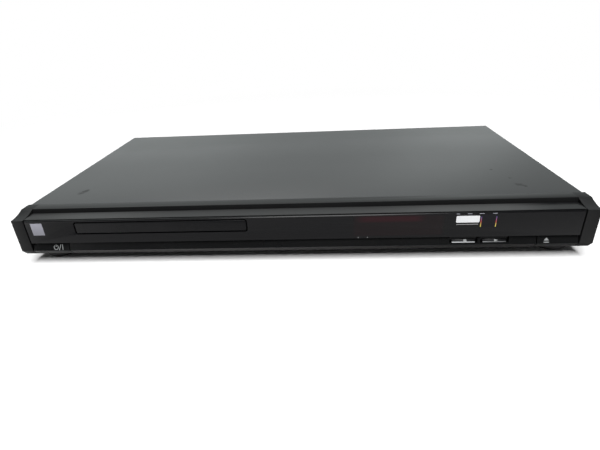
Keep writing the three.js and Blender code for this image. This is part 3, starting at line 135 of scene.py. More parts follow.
class Finish(Graph):
    """The shader nodes of one material, or of the world behind it all."""

    def __init__(self, owner):
        owner.use_nodes = True
        owner.node_tree.nodes.clear()
        super().__init__(owner.node_tree)
        self.owner = owner
        self.place = self.node("ShaderNodeTexCoord", output="Object")

    def along(self, axis):
        return self.node("ShaderNodeSeparateXYZ", sockets={0: self.place}, output=axis)

    def noise(self, size, detail=2, stretch=(1, 1, 1)):
        place = self.node("ShaderNodeVectorMath", {"operation": "MULTIPLY"}, {0: self.place, 1: stretch})
        return self.node("ShaderNodeTexNoise",
                         sockets={"Vector": place, "Scale": 1 / size, "Detail": detail})

    def rise(self, signal, low, high):
        """0 below low, 1 above high, and smooth between them."""
        return self.node("ShaderNodeMapRange", {"interpolation_type": "SMOOTHSTEP"},
                         {0: signal, 1: low, 2: high})

    def between(self, signal, low, high, soft):
        """1 between low and high, with soft edges."""
        return self.rise(signal, low - soft, low + soft) * (1 - self.rise(signal, high - soft, high + soft))

    def tint(self, mask, first, second):
        """The first colour where the mask is 0, the second where it is 1."""
        return self.node("ShaderNodeMix", {"data_type": "RGBA"}, {0: mask, 6: first, 7: second}, output=2)

    def surface(self, color, roughness, relief=None, depth=0.0, fixed=None):
        """Ends the material. relief is bumps of that depth, and fixed is the same all over."""
        sockets = {"Base Color": color, "Roughness": roughness, **(fixed or {})}
        if relief:
            sockets["Normal"] = self.node("ShaderNodeBump", sockets={"Height": relief, "Distance": depth})
        shader = self.node("ShaderNodeBsdfPrincipled", sockets=sockets)
        self.node("ShaderNodeOutputMaterial", sockets={"Surface": shader})
        return self.owner


def dress(material, *names):
    """Gives CAD pieces a material."""
    for name in names:
        nodes[name].data.materials.clear()
        nodes[name].data.materials.append(material)


def plated_steel(name, color, spangle, lines, coated_beneath=False):
    """Plating with a spangle of that size and fine lines along one axis.

    Where it faces down it may be coated black.
    """
    finish = Finish(bpy.data.materials.new(name))
    flakes = finish.node("ShaderNodeTexVoronoi", sockets={"Vector": finish.place, "Scale": 1 / spangle},
                         output="Color")
    flake = finish.node("ShaderNodeSeparateColor", sockets={0: flakes})
    cloud = finish.noise(12 * mm, 4)
    streak = finish.noise(0.5 * mm, 3, lines)
    dull = tuple(0.86 * part for part in color)
    shine = finish.rise(cloud * 0.7 + flake * 0.3, 0.25, 0.75)
    shade, metallic = finish.tint(shine, dull, color), 1.0
    if coated_beneath:
        normal = finish.node("ShaderNodeNewGeometry", output="Normal")
        facing_up = finish.node("ShaderNodeSeparateXYZ", sockets={0: normal}, output=2)
        coat = 1 - finish.rise(facing_up, -0.8, -0.4)
        shade, metallic = finish.tint(coat, shade, paint_black), 1 - coat
    return finish.surface(shade, 0.26 + flake * 0.08 + cloud * 0.16 + streak * 0.06, streak, 0.006 * mm,
                          {"Metallic": metallic})


paint_black = (0.0095, 0.0100, 0.0105)
zinc_color, spangle_size, rolling_lines = (0.60, 0.61, 0.62), 5 * mm, (0.04, 1, 1)
chassis_sheet = plated_steel("chassis_sheet", zinc_color, spangle_size, rolling_lines, coated_beneath=True)
dress(chassis_sheet, "base_chassis")


# Feet: four hard rubber rounds on the chassis, each with a smaller pad that grips the shelf.
# They are moulded, with a radius on every edge and a dusty bloom that handling leaves.
def softened(name, node, material, edge, body, sharp=20):
    """A copy of a CAD piece, which stands in its place with rounded edges.

    An edge is rounded where its faces meet at more than that many degrees.
    """
    mesh = nodes[node].data.copy()
    mesh.materials.clear()
    mesh.materials.append(material)
    work = bmesh.new()
    work.from_mesh(mesh)
    bmesh.ops.remove_doubles(work, verts=work.verts, dist=0.002 * mm)
    bmesh.ops.dissolve_limit(work, angle_limit=radians(0.5), verts=work.verts, edges=work.edges)
    work.to_mesh(mesh)
    work.free()
    mesh.polygons.foreach_set("use_smooth", [True] * len(mesh.polygons))
    piece = bpy.data.objects.new(name, mesh)
    bpy.context.scene.collection.objects.link(piece)
    bevel = piece.modifiers.new("edges", "BEVEL")
    bevel.width = edge
    bevel.segments = 2
    bevel.limit_method = "ANGLE"
    bevel.angle_limit = radians(sharp)
    bevel.harden_normals = True
    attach(piece, body)
    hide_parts(node)
    return piece


def moulded(name, color, roughness, grain, depth, fixed=None):
    """Moulded plastic or rubber: a fine spark-eroded grain, slow changes of gloss and a little dust."""
    finish = Finish(bpy.data.materials.new(name))
    cloud = finish.noise(30 * mm, 3)
    pores = finish.noise(grain, 2)
    lighter = tuple(1.35 * part + 0.001 for part in color)
    dust_and_painted_sheen = finish.rise(cloud, 0.35, 0.8) * finish.rise(pores, 0.3, 0.7)
    gloss = roughness - 0.04 + cloud * 0.08 + pores * 0.04
    return finish.surface(finish.tint(dust_and_painted_sheen, color, lighter), gloss, pores, depth, fixed)


foot_rubber = moulded("foot_rubber", (0.011, 0.011, 0.011), 0.72, 0.8 * mm, 0.02 * mm)
for place in ("front_left", "front_right", "rear_left", "rear_right"):
    softened(f"rubber_foot_{place}", f"foot_{place}", foot_rubber, 0.5 * mm, "case")


# Main board and power board: printed circuits on pressed posts at the rear of the chassis.
# The main board has a green solder mask over its tracks, the power board is brown paper laminate.
def circuit_board(name, mask, copper, track):
    """Tracks as thin ridges of a cell pattern, under a solder mask."""
    finish = Finish(bpy.data.materials.new(name))
    cells = finish.node("ShaderNodeTexVoronoi", {"feature": "DISTANCE_TO_EDGE"},
                        {"Vector": finish.place, "Scale": 1 / track, "Randomness": 0.6})
    tracks = 1 - finish.rise(cells, 0.03, 0.06)
    cloud = finish.noise(9 * mm, 4)
    shade = finish.tint(cloud, tuple(0.75 * part for part in mask), mask)
    shade = finish.tint(tracks * 0.5, shade, copper)
    return finish.surface(shade, 0.32 + cloud * 0.15, tracks, 0.03 * mm)


dress(circuit_board("green_board", (0.012, 0.085, 0.030), (0.03, 0.20, 0.06), 5 * mm), "main_board")
dress(circuit_board("brown_board", (0.36, 0.21, 0.075), (0.41, 0.25, 0.095), 6 * mm),
      "power_board", "front_board", "power_key_board")
chip_epoxy = moulded("chip_epoxy", (0.012, 0.012, 0.013), 0.5, 0.4 * mm, 0.01 * mm)
dress(chip_epoxy, "decoder_chip", "memory_chip", "display_module", "power_switch", "stop_switch",
      "play_switch", "open_close_switch")
dress(moulded("core_tape", (0.55, 0.37, 0.045), 0.35, 1.5 * mm, 0.02 * mm), "transformer")
dress(moulded("capacitor_sleeve", (0.012, 0.022, 0.065), 0.3, 1.2 * mm, 0.01 * mm), "bulk_capacitor")
dress(plated_steel("drawn_aluminium", (0.72, 0.73, 0.74), 9 * mm, (1, 1, 0.04)), "heat_sink")


# Small parts on the boards: chip resistors and capacitors in rows, set down by a machine.
# They are ceramic bricks of several sizes, turned to either side.
class Recipe(Graph):
    """A Geometry Nodes tree with named sizes, which sets a shape on places."""

    def __init__(self, name, **sizes):
        super().__init__(bpy.data.node_groups.new(name, "GeometryNodeTree"))
        kinds = {float: "NodeSocketFloat", int: "NodeSocketInt", tuple: "NodeSocketVector"}
        face = self.tree.interface
        face.new_socket("Places", in_out="INPUT", socket_type="NodeSocketGeometry")
        self.sizes = sizes
        self.keys = {}
        for label, value in sizes.items():
            kind = kinds.get(type(value), "NodeSocketMaterial")
            self.keys[label] = face.new_socket(label, in_out="INPUT", socket_type=kind).identifier
        face.new_socket("Mesh", in_out="OUTPUT", socket_type="NodeSocketGeometry")
        self.given = self.tree.nodes.new("NodeGroupInput")

    def size(self, label):
        return Signal(self, self.given.outputs[label])

    def vector(self, x, y, z):
        return self.node("ShaderNodeCombineXYZ", sockets={0: x, 1: y, 2: z})

    def above(self, height):
        return self.vector(0.0, 0.0, height)

    def moved(self, shape, place, **more):
        """The shape at another place, with a Scale or Rotation if one is given."""
        return self.node("GeometryNodeTransform",
                         sockets={"Geometry": shape, "Translation": place, **more})

    def brick(self, x, y, z, centre):
        cube = self.node("GeometryNodeMeshCube", sockets={"Size": self.vector(x, y, z)})
        return self.moved(cube, centre)

    def ends(self, shape, turn=None, scale=None):
        """Sets the shape on every place and ends the tree."""
        extras = {key: value for key, value in (("Rotation", turn), ("Scale", scale)) if value}
        spread = self.node("GeometryNodeInstanceOnPoints",
                           sockets={"Points": self.size("Places"), "Instance": shape, **extras})
        whole = self.node("GeometryNodeRealizeInstances", sockets={0: spread})
        dressed = self.node("GeometryNodeSetMaterial",
                            sockets={"Geometry": whole, "Material": self.size("Material")})
        self.node("NodeGroupOutput", sockets={0: dressed})


def made(name, recipe, places, body, **sizes):
    """What the recipe makes on these places, as one plain mesh."""
    mesh = bpy.data.meshes.new(f"{name}_places")
    mesh.from_pydata(places, [], [])
    piece = bpy.data.objects.new(name, mesh)
    bpy.context.scene.collection.objects.link(piece)
    modifier = piece.modifiers.new("recipe", "NODES")
    modifier.node_group = recipe.tree
    for label, value in {**recipe.sizes, **sizes}.items():
        modifier[recipe.keys[label]] = value
    baked = bpy.data.meshes.new_from_object(piece.evaluated_get(bpy.context.evaluated_depsgraph_get()))
    piece.modifiers.remove(modifier)
    piece.data = baked
    work = bmesh.new()
    work.from_mesh(baked)
    bmesh.ops.recalc_face_normals(work, faces=work.faces)
    work.to_mesh(baked)
    work.free()
    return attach(piece, body)


ceramic = moulded("ceramic", (0.11, 0.085, 0.06), 0.4, 0.3 * mm, 0.01 * mm)
chips = Recipe("board_chips", Length=2.0 * mm, Width=1.25 * mm, Height=0.6 * mm, Seed=5, Material=ceramic)
length, width, height = (chips.size(label) for label in ("Length", "Width", "Height"))
chip = chips.brick(length, width, height, chips.above(height * 0.5))
quarter = chips.node("FunctionNodeRandomValue", {"data_type": "INT"},
                     {"Min": 0, "Max": 3, "Seed": chips.size("Seed")}, output=2)
swell = chips.node("FunctionNodeRandomValue", {"data_type": "FLOAT"},
                   {"Min": 0.5, "Max": 1.3, "Seed": chips.size("Seed") + 1}, output=1)
turned = chips.vector(0.0, 0.0, quarter * (pi / 2))
chips.ends(chip, turned, chips.vector(swell, swell, swell))
board_low, board_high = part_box("main_board")
taken = [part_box(name) for name in ("decoder_chip", "memory_chip", "coaxial_jack", "av_jack_block",
                                   "hdmi_socket", "front_flat_cable")]
chip_pitch, free_margin = 4 * mm, 3 * mm
chip_places = []
for i in range(1, int((board_high.x - board_low.x) / chip_pitch)):
    for j in range(1, int((board_high.y - board_low.y) / chip_pitch)):
        spot = Vector((board_low.x + i * chip_pitch, board_low.y + j * chip_pitch, board_high.z))
        clear = all(abs(spot.x - (low.x + high.x) / 2) > (high.x - low.x) / 2 + free_margin
                    or abs(spot.y - (low.y + high.y) / 2) > (high.y - low.y) / 2 + free_margin
                    for low, high in taken)
        if clear and (i * 7 + j * 5) % 9 < 4:
            chip_places.append(spot)
made("board_chips", chips, chip_places, "case")

# Front flat cable: tinned conductors laminated side by side in white film, from board to board.
# It hangs in one easy sag under the tray's frame.
flat_film = Finish(bpy.data.materials.new("flat_film"))
conductor_pitch = 1.0 * mm
wires = flat_film.node("ShaderNodeMath", {"operation": "PINGPONG"},
                       {0: flat_film.along(0), 1: conductor_pitch / 2})
wire = flat_film.rise(wires, 0.15 * conductor_pitch, 0.3 * conductor_pitch)
dress(flat_film.surface(flat_film.tint(wire, (0.74, 0.72, 0.66), (0.42, 0.42, 0.42)), 0.3 + wire * 0.1,
                        wire, 0.05 * mm), "front_flat_cable")

# Loader: a glass-filled plastic frame with white acetal gears, a cam slider, a rubber belt and small
# motors. Everything in it snaps or presses together, and the frame's own feet stand on the chassis.
dress(moulded("loader_plastic", (0.028, 0.029, 0.031), 0.5, 0.5 * mm, 0.015 * mm), "loader_frame")
acetal = moulded("acetal", (0.72, 0.70, 0.63), 0.38, 0.7 * mm, 0.006 * mm,
                 {"Subsurface Weight": 0.2, "Subsurface Scale": 0.5 * mm})
dress(acetal, "tray_drive_gear", "pulley_gear", "motor_pulley", "cam_slider", "feed_gear", "feed_pinion")
dress(moulded("belt_rubber", (0.010, 0.010, 0.010), 0.6, 0.5 * mm, 0.01 * mm), "drive_belt")
turned_steel = plated_steel("turned_steel", (0.66, 0.66, 0.65), 14 * mm, (1, 0.05, 1))
dress(turned_steel, "loading_motor", "spindle_motor", "feed_motor", "guide_rod_left", "guide_rod_right")
sheet_zinc = plated_steel("sheet_zinc", zinc_color, spangle_size, rolling_lines)
dress(sheet_zinc, "clamper_bridge", "traverse_plate")
dress(chip_epoxy, "pickup_sled", "turntable", "clamper")
lens = Finish(bpy.data.materials.new("coated_lens"))
lens_bloom = lens.noise(3 * mm, 1)
lens_color = lens.tint(lens_bloom, (0.04, 0.06, 0.20), (0.10, 0.05, 0.22))
dress(lens.surface(lens_color, 0.04 + lens_bloom * 0.02, fixed={"IOR": 1.6, "Coat Weight": 1.0}),
      "objective_lens")

# Disc tray: black plastic with a fine matt texture, and two stepped rounds that centre large and small
# discs. It rides on the loader's rails and carries the door at its front edge.
tray_plastic = moulded("tray_plastic", (0.013, 0.013, 0.014), 0.46, 0.5 * mm, 0.02 * mm)
softened("tray_moulding", "disc_tray", tray_plastic, 0.25 * mm, "tray", 30)

# Front panel: one satin black moulding with a rim, a sloping ledge, two end wings and a lower lip.
# Its tool was spark-eroded to a soft sheen. The ledge carries a painted sheen, a lighter colour that is
# held back at the left end and in the middle as painted shade. The lip is worn duller towards the right.
panel = Finish(bpy.data.materials.new("panel_black"))
panel_x, panel_y, panel_z = (panel.along(axis) for axis in range(3))
panel_grain = panel.noise(0.35 * mm, 2)
panel_cloud = panel.noise(40 * mm, 3)
sideways = panel.node("ShaderNodeMath", {"operation": "ABSOLUTE"}, {0: panel_x})
on_wing = panel.rise(sideways, 205.5 * mm, 207 * mm)
on_lip = 1 - panel.rise(panel_z, 13.5 * mm, 14 * mm)
on_band = panel.between(panel_z, 13.8 * mm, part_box("face_plate")[0].z, 0.2 * mm) * (1 - on_wing)
on_ledge = panel.rise(panel_z, 39.5 * mm, 39.8 * mm) * (1 - panel.rise(panel_y, -102.1 * mm, -101.8 * mm))
on_ledge = on_ledge * (1 - on_wing) * (1 - panel.rise(panel_x, 150 * mm, 190 * mm))
left_end = 1 - panel.rise(panel_x, -205 * mm, -160 * mm)
middle = panel.between(panel_x, -120 * mm, 85 * mm, 30 * mm)
# Painted sheen: the ledge's colour is lightened, less at the left end and in the middle (painted shade).
dust_and_painted_sheen = on_ledge * (1 - left_end * 0.5 - middle * 0.4)
wear = on_lip * (0.18 + panel.rise(panel_x, -20 * mm, 120 * mm) * 0.26)
moulded_color = panel.tint(panel_cloud, (0.0035, 0.0036, 0.0038), (0.0052, 0.0053, 0.0055))
panel_color = panel.tint(dust_and_painted_sheen, moulded_color, (0.038, 0.039, 0.039))
panel_roughness = (0.31 + panel_grain * 0.04 + panel_cloud * 0.05 + on_wing * 0.16 + wear
                   - on_band * 0.10 + on_ledge * 0.15)
panel_black = panel.surface(panel_color, panel_roughness, panel_grain, 0.004 * mm, {"IOR": 1.26})
softened("panel_moulding", "front_panel", panel_black, 0.3 * mm, "case", 25)

# Face plate: smoked plastic, polished, snapped into the panel in front of the display.
# A dull red shows through it over the display, strongest along the top of the window.
window_low, window_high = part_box("display_filter")
smoked = Finish(bpy.data.materials.new("smoked_plate"))
smoked_x, smoked_z = smoked.along(0), smoked.along(2)
across = smoked.between(smoked_x, window_low.x, window_high.x, 1.5 * mm)
upward = smoked.between(smoked_z, window_low.z, window_high.z + 1 * mm, 0.6 * mm)
glow = (smoked.between(smoked_z, 33.7 * mm, 38 * mm, 1.2 * mm)
        * smoked.between(smoked_x, 50 * mm, 93 * mm, 5 * mm))
haze = smoked.noise(40 * mm, 3)
scuff = smoked.noise(0.4 * mm, 3, (0.2, 1, 1))
window_brown = smoked.tint(across * upward, (0.0035, 0.0035, 0.004), (0.0058, 0.0035, 0.004))
plate_color = smoked.tint(glow, window_brown, (0.016, 0.0030, 0.0048))
smoked_plate = smoked.surface(plate_color, 0.16 + haze * 0.06 + scuff * 0.03, haze, 0.008 * mm,
                              {"IOR": 1.22})
softened("smoked_face", "face_plate", smoked_plate, 0.25 * mm, "case", 25)
red_filter = Finish(bpy.data.materials.new("red_filter"))
filter_color = red_filter.tint(red_filter.noise(8 * mm), (0.10, 0.004, 0.005), (0.14, 0.008, 0.008))
dress(red_filter.surface(filter_color, 0.12 + red_filter.noise(2 * mm) * 0.05), "display_filter")

# Tray door: a strip of the same black plastic, clipped to the front of the tray, flush with the plate.
# It leaves an even dark gap all round.
door_black = moulded("door_black", (0.004, 0.004, 0.0045), 0.26, 0.4 * mm, 0.003 * mm, {"IOR": 1.20})
softened("door_strip", "tray_door", door_black, 0.3 * mm, "tray", 25)

# Keys: four black caps that press small switches behind the panel. The two end keys take in the lip,
# in the panel's own black. The two middle ones are small, and the bar across their foot carries a painted
# highlight in pale grey that fades towards the right.
for key in ("power_key", "open_close_key"):
    softened(f"{key}_cap", key, panel_black, 0.25 * mm, key, 25)
barred = Finish(bpy.data.materials.new("barred_key_black"))
barred_x, barred_y, barred_z = (barred.along(axis) for axis in range(3))
bar_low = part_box("stop_key")[0]
bar_front = 1 - barred.rise(barred_y, bar_low.y + 0.8 * mm, bar_low.y + 1 * mm)
# Painted highlight: the lowest part of the bar's front is coloured pale grey, fading towards the right.
painted_bar_highlight = barred.between(barred_z, bar_low.z, bar_low.z + 0.7 * mm, 0.2 * mm) * bar_front
highlight_fade = barred.rise(barred_x, 126 * mm, 146 * mm) * 0.7 + barred.rise(barred_x, 148 * mm, 158 * mm) * 0.2
key_grain = barred.noise(0.35 * mm, 2)
cap_color = barred.tint(key_grain, (0.0038, 0.0038, 0.0042), (0.0050, 0.0050, 0.0055))
key_color = barred.tint(painted_bar_highlight * (1 - highlight_fade), cap_color, (0.40, 0.41, 0.42))
barred_key_black = barred.surface(key_color, 0.25 + key_grain * 0.04, key_grain, 0.002 * mm, {"IOR": 1.18})
for key in ("stop_key", "play_key"):
    softened(f"{key}_cap", key, barred_key_black, 0.12 * mm, key, 25)


# Marks and labels: pad-printed symbols in pale grey, and three small stickers on the plate, one with
# coloured strips. Each is a film a few hundredths thick, laid on the face that carries it.
def laid_on(name, node, outlines, material, body, lift=0.02 * mm):
    """Flat closed shapes of (x, z) points, as a film on the front of a CAD piece."""
    thickness = 0.05 * mm
    carrier = nodes[node].data
    tree = BVHTree.FromPolygons([v.co for v in carrier.vertices], [p.vertices for p in carrier.polygons])
    work = bmesh.new()
    for points in outlines:
        rear, front = [], []
        for x, z in points:
            hit = tree.ray_cast(Vector((x, cad_box[0].y - 1, z)), Vector((0, 1, 0)))[0]
            rear.append(work.verts.new((x, hit.y - lift, z)))
            front.append(work.verts.new((x, hit.y - lift - thickness, z)))
        work.faces.new(front)
        work.faces.new(reversed(rear))
        for i in range(len(points)):
            j = (i + 1) % len(points)
            work.faces.new((rear[i], rear[j], front[j], front[i]))
    bmesh.ops.recalc_face_normals(work, faces=work.faces)
    mesh = bpy.data.meshes.new(name)
    work.to_mesh(mesh)
    work.free()
    mesh.materials.append(material)
    piece = bpy.data.objects.new(name, mesh)
    bpy.context.scene.collection.objects.link(piece)
    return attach(piece, body)


def arc(x, z, radius, start, end, steps=16):
    """Points along an arc, between two angles in degrees."""
    angles = [radians(start + (end - start) * i / steps) for i in range(steps + 1)]
    return [(x + radius * cos(angle), z + radius * sin(angle)) for angle in angles]


def band(x, z, radius, line, start, end):
    """A stroke of that width along an arc."""
    return arc(x, z, radius + line / 2, start, end) + arc(x, z, radius - line / 2, end, start)


def stroke(x0, z0, x1, z1, line):
    """A straight stroke of that width."""
    way = Vector((x1 - x0, z1 - z0)).normalized() * line / 2
    return [(x0 - way.y, z0 + way.x), (x0 + way.y, z0 - way.x),
            (x1 + way.y, z1 - way.x), (x1 - way.y, z1 + way.x)]


def rounded(x0, x1, z0, z1, radius):
    """A rectangle with round corners."""
    left, right, foot, top = x0 + radius, x1 - radius, z0 + radius, z1 - radius
    corners = ((right, top, 0), (left, top, 90), (left, foot, 180), (right, foot, 270))
    return [point for x, z, start in corners for point in arc(x, z, radius, start, start + 90, 5)]


def ink(name, color, roughness=0.5, fixed=None):
    """Printed ink or film, a little uneven where the pad left less of it."""
    finish = Finish(bpy.data.materials.new(name))
    thin = finish.noise(0.6 * mm, 2)
    shade = finish.tint(thin, tuple(0.85 * part for part in color), color)
    return finish.surface(shade, roughness + thin * 0.08, fixed=fixed)


pale_ink = ink("pale_ink", (0.23, 0.24, 0.24))
line = 0.45 * mm
power_x, power_z, power_radius = -187 * mm, 16.4 * mm, 1.7 * mm
power_symbol = [
    band(power_x, power_z, power_radius, line, 125, 415),
    stroke(power_x, power_z + 0.3 * mm, power_x, power_z + power_radius + 0.6 * mm, line),
    stroke(power_x + 2.4 * mm, power_z - 2.2 * mm, power_x + 4.2 * mm, power_z + 2.2 * mm, line),
    stroke(power_x + 5.4 * mm, power_z - 2 * mm, power_x + 5.4 * mm, power_z + 2.2 * mm, line),
]
laid_on("power_symbol", "power_key", power_symbol, pale_ink, "power_key")
eject_x, eject_z = 183.5 * mm, 16.1 * mm
eject_symbol = [
    [(eject_x - 1.8 * mm, eject_z), (eject_x + 1.8 * mm, eject_z), (eject_x, eject_z + 2 * mm)],
    stroke(eject_x - 1.8 * mm, eject_z - 1.2 * mm, eject_x + 1.8 * mm, eject_z - 1.2 * mm, 0.6 * mm),
]
laid_on("eject_symbol", "open_close_key", eject_symbol, pale_ink, "open_close_key")
stop_x, play_x, mark_z = 126.4 * mm, 148.4 * mm, 16.65 * mm
stop_square = rounded(stop_x - 1.1 * mm, stop_x + 1.1 * mm, mark_z - 0.7 * mm, mark_z + 0.7 * mm, 0.1 * mm)
laid_on("stop_symbol", "stop_key", [stop_square], pale_ink, "stop_key")
play_arrow = [(play_x - 1.2 * mm, mark_z - 0.75 * mm), (play_x + 1.4 * mm, mark_z),
              (play_x - 1.2 * mm, mark_z + 0.75 * mm)]
laid_on("play_symbol", "play_key", [play_arrow], pale_ink, "play_key")

foil = Finish(bpy.data.materials.new("label_foil"))
foil_grain = foil.noise(0.5 * mm, 3, (1, 1, 0.15))
foil_fade = foil.rise(foil.along(2), 27 * mm, 38 * mm)
foil_color = foil.tint(foil_fade, (0.17, 0.17, 0.195), (0.25, 0.25, 0.29))
label_foil = foil.surface(foil_color, 0.34 + foil_grain * 0.12, foil_grain, 0.004 * mm, {"Metallic": 0.35})
laid_on("foil_label", "face_plate", [rounded(-201 * mm, -191.7 * mm, 27.5 * mm, 37.5 * mm, 0.4 * mm)],
        label_foil, "case")
laid_on("white_label", "face_plate", [rounded(117.8 * mm, 134 * mm, 32 * mm, 37.2 * mm, 0.9 * mm)],
        ink("white_film", (0.62, 0.63, 0.64), 0.3), "case")
laid_on("white_rule", "face_plate", [stroke(118.2 * mm, 30.6 * mm, 133.4 * mm, 30.6 * mm, 0.5 * mm)],
        ink("grey_rule", (0.22, 0.22, 0.22)), "case")
laid_on("dark_label", "face_plate", [rounded(134.6 * mm, 146.2 * mm, 27.6 * mm, 38.4 * mm, 0.5 * mm)],
        ink("dark_film", (0.006, 0.006, 0.008), 0.3, {"IOR": 1.2}), "case")
strip = Finish(bpy.data.materials.new("colour_strips"))
strip_run = strip.rise(strip.along(2), 28.4 * mm, 37.6 * mm)
strip_stops = [(0.0, (0.42, 0.36, 0.05)), (0.4, (0.32, 0.03, 0.02)), (1.0, (0.03, 0.04, 0.18))]
strip_color = strip.node("ShaderNodeValToRGB", {"stops": strip_stops}, {0: strip_run})
strip_film = strip.surface(strip_color, 0.35 + strip.noise(1 * mm) * 0.05)
colour_strips = [rounded(x, x + 0.6 * mm, 28.4 * mm, 36.4 * mm, 0.2 * mm)
                 for x in (134.8 * mm, 145.2 * mm)]
laid_on("colour_strips", "face_plate", colour_strips, strip_film, "case", lift=0.09 * mm)
# Painted glints: short pale dashes along the top edge of the two stickers stand in for light on the lifted
# film.
edge_z = 38.75 * mm
edge_spans = ((117.6, 119.8), (125.2, 128.4), (133.4, 136.8), (142.6, 145.6))
painted_film_glints = [stroke(start * mm, edge_z, end * mm, edge_z, 0.3 * mm) for start, end in edge_spans]
laid_on("painted_film_glints", "face_plate", painted_film_glints, ink("painted_glint_ink", (0.35, 0.36, 0.40), 0.2), "case")
dots = [arc(48.7 * mm, 21.4 * mm, 0.45 * mm, 0, 345, 15), arc(55.4 * mm, 21.4 * mm, 0.4 * mm, 0, 345, 15)]
laid_on("sensor_dots", "face_plate", dots, ink("dot_grey", (0.13, 0.13, 0.13)), "case")

# Rear panel and sockets: a painted steel plate with the mains inlet, the shell socket and the jacks.
# The jacks are black blocks on the board, with coloured rings and plated sleeves set in their mouths.
paint = Finish(bpy.data.materials.new("satin_paint"))
orange_peel = paint.noise(0.9 * mm, 2)
paint_cloud = paint.noise(70 * mm, 3)
fine_dust = paint.rise(paint.noise(1.4 * mm, 1), 0.74, 0.80)
paint_color = paint.tint(fine_dust * 0.4, paint_black, (0.05, 0.05, 0.05))
paint_roughness = 0.30 + paint_cloud * 0.08 + orange_peel * 0.03 + fine_dust * 0.1
dress(paint.surface(paint_color, paint_roughness, orange_peel, 0.010 * mm, {"IOR": 1.5}), "rear_panel")
block_low, block_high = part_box("av_jack_block")
coax_low, coax_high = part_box("coaxial_jack")
block_x, jack_pitch = (block_low.x + block_high.x) / 2, 15 * mm
jack_z, row_pitch, barrel_radius = 19 * mm, 13 * mm, 4.15 * mm
jack_colors = {"green": (0.02, 0.22, 0.05), "blue": (0.015, 0.06, 0.40), "red": (0.42, 0.012, 0.015),
               "yellow": (0.62, 0.42, 0.01), "white": (0.72, 0.72, 0.70), "orange": (0.60, 0.16, 0.01)}
jack_spots = {"green": [(-1, 1)], "blue": [(0, 1)], "red": [(1, 1), (1, 0)], "white": [(0, 0)],
              "yellow": [(-1, 0)]}
mouths = {color: [(block_x + column * jack_pitch, jack_z + row * row_pitch) for column, row in spots]
          for color, spots in jack_spots.items()}
mouths["orange"] = [((coax_low.x + coax_high.x) / 2, jack_z)]

jack = Finish(bpy.data.materials.new("jack_plastic"))
jack_grain = jack.noise(0.4 * mm, 2)
jack_shade = jack.tint(jack_grain, (0.012, 0.012, 0.012), (0.016, 0.016, 0.016))
past_panel = jack.rise(jack.along(1), block_high.y - 1.4 * mm, block_high.y - 1.2 * mm)
flattened = jack.node("ShaderNodeVectorMath", {"operation": "MULTIPLY"}, {0: jack.place, 1: (1, 0, 1)})
for color, spots in mouths.items():
    for x, z in spots:
        radius = jack.node("ShaderNodeVectorMath", {"operation": "DISTANCE"}, {0: flattened, 1: (x, 0, z)},
                           output="Value")
        ringed = past_panel * (1 - jack.rise(radius, 3.2 * mm, 3.3 * mm))
        jack_shade = jack.tint(ringed, jack_shade, jack_colors[color])
jack_plastic = jack.surface(jack_shade, 0.4 + jack_grain * 0.06, jack_grain, 0.008 * mm)
for piece, node in (("inlet_shroud", "ac_inlet"), ("coaxial_housing", "coaxial_jack"),
                    ("jack_block", "av_jack_block")):
    softened(piece, node, jack_plastic, 0.2 * mm, "case", 30)
dress(turned_steel, "hdmi_socket")

rings = Recipe("jack_rings", Inside=1.7 * mm, Outside=3.2 * mm, Depth=1.0 * mm, Material=jack_plastic)
inside, outside, depth = (rings.size(label) for label in ("Inside", "Outside", "Depth"))
circle = rings.node("GeometryNodeCurvePrimitiveCircle",
                    sockets={"Resolution": 24, "Radius": (inside + outside) * 0.5})
section = rings.node("GeometryNodeCurvePrimitiveQuadrilateral",
                     sockets={"Width": outside - inside, "Height": depth})
swept = rings.node("GeometryNodeCurveToMesh", sockets={"Curve": circle, "Profile Curve": section})
rings.ends(rings.moved(swept, (0, 0, 0), Rotation=(radians(90), 0, 0)))
panel_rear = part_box("rear_panel")[1].y
collar_depth = 1.6 * mm
sleeve_depth = block_high.y - panel_rear - collar_depth
for color, spots in mouths.items():
    collar = moulded(f"jack_{color}", jack_colors[color], 0.35, 0.4 * mm, 0.006 * mm)
    collar_places = [(x, panel_rear + collar_depth / 2, z) for x, z in spots]
    made(f"jack_collar_{color}", rings, collar_places, "case", Inside=barrel_radius,
                 Outside=5.6 * mm, Depth=collar_depth, Material=collar)
sleeve_y = block_high.y - sleeve_depth / 2
sleeve_places = [(x, sleeve_y, z) for spots in mouths.values() for x, z in spots]
made("jack_sleeves", rings, sleeve_places, "case", Inside=barrel_radius - 0.05 * mm,
             Outside=barrel_radius + 0.25 * mm, Depth=sleeve_depth, Material=turned_steel)

# Top cover: steel sheet bent down on three sides, powder-coated satin black, slid on from behind.
# Finger smudges dull it near the front corners, and a few specks of dust lie on it.
cover = Finish(bpy.data.materials.new("cover_paint"))
peel = cover.noise(0.9 * mm, 2)
cloud = cover.noise(80 * mm, 3)
specks = cover.rise(cover.noise(1.6 * mm, 1), 0.76, 0.82)
smudge_places = [(-183.6, -69.8, 3.6), (-182.3, -65.8, 4.4), (-181.2, -62.6, 2.6), (176.2, -74.4, 5),
                 (179.6, -76.6, 3.4), (167.2, -39.6, 2.4), (174.7, -59.7, 2)]
cover_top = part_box("top_cover")[1].z
smudge = 0.0
for x, y, size in smudge_places:
    reach = size * mm
    away = cover.node("ShaderNodeVectorMath", {"operation": "DISTANCE"},
                      {0: cover.place, 1: (x * mm, y * mm, cover_top)}, output="Value")
    ragged = away + cover.noise(3 * mm, 4) * (1.6 * reach)
    smudge = smudge + (1 - cover.rise(ragged, reach * 0.7, reach * 1.9))
smudge = cover.rise(smudge, 0.05, 0.9)
cover_color = cover.tint(specks * 0.5, paint_black, (0.06, 0.06, 0.06))
cover_roughness = 0.30 + cloud * 0.08 + peel * 0.03 + smudge * 0.36
cover_paint = cover.surface(cover_color, cover_roughness, peel, 0.008 * mm, {"IOR": 1.5})
softened("cover_sheet", "top_cover", cover_paint, 0.12 * mm, "case", 40)

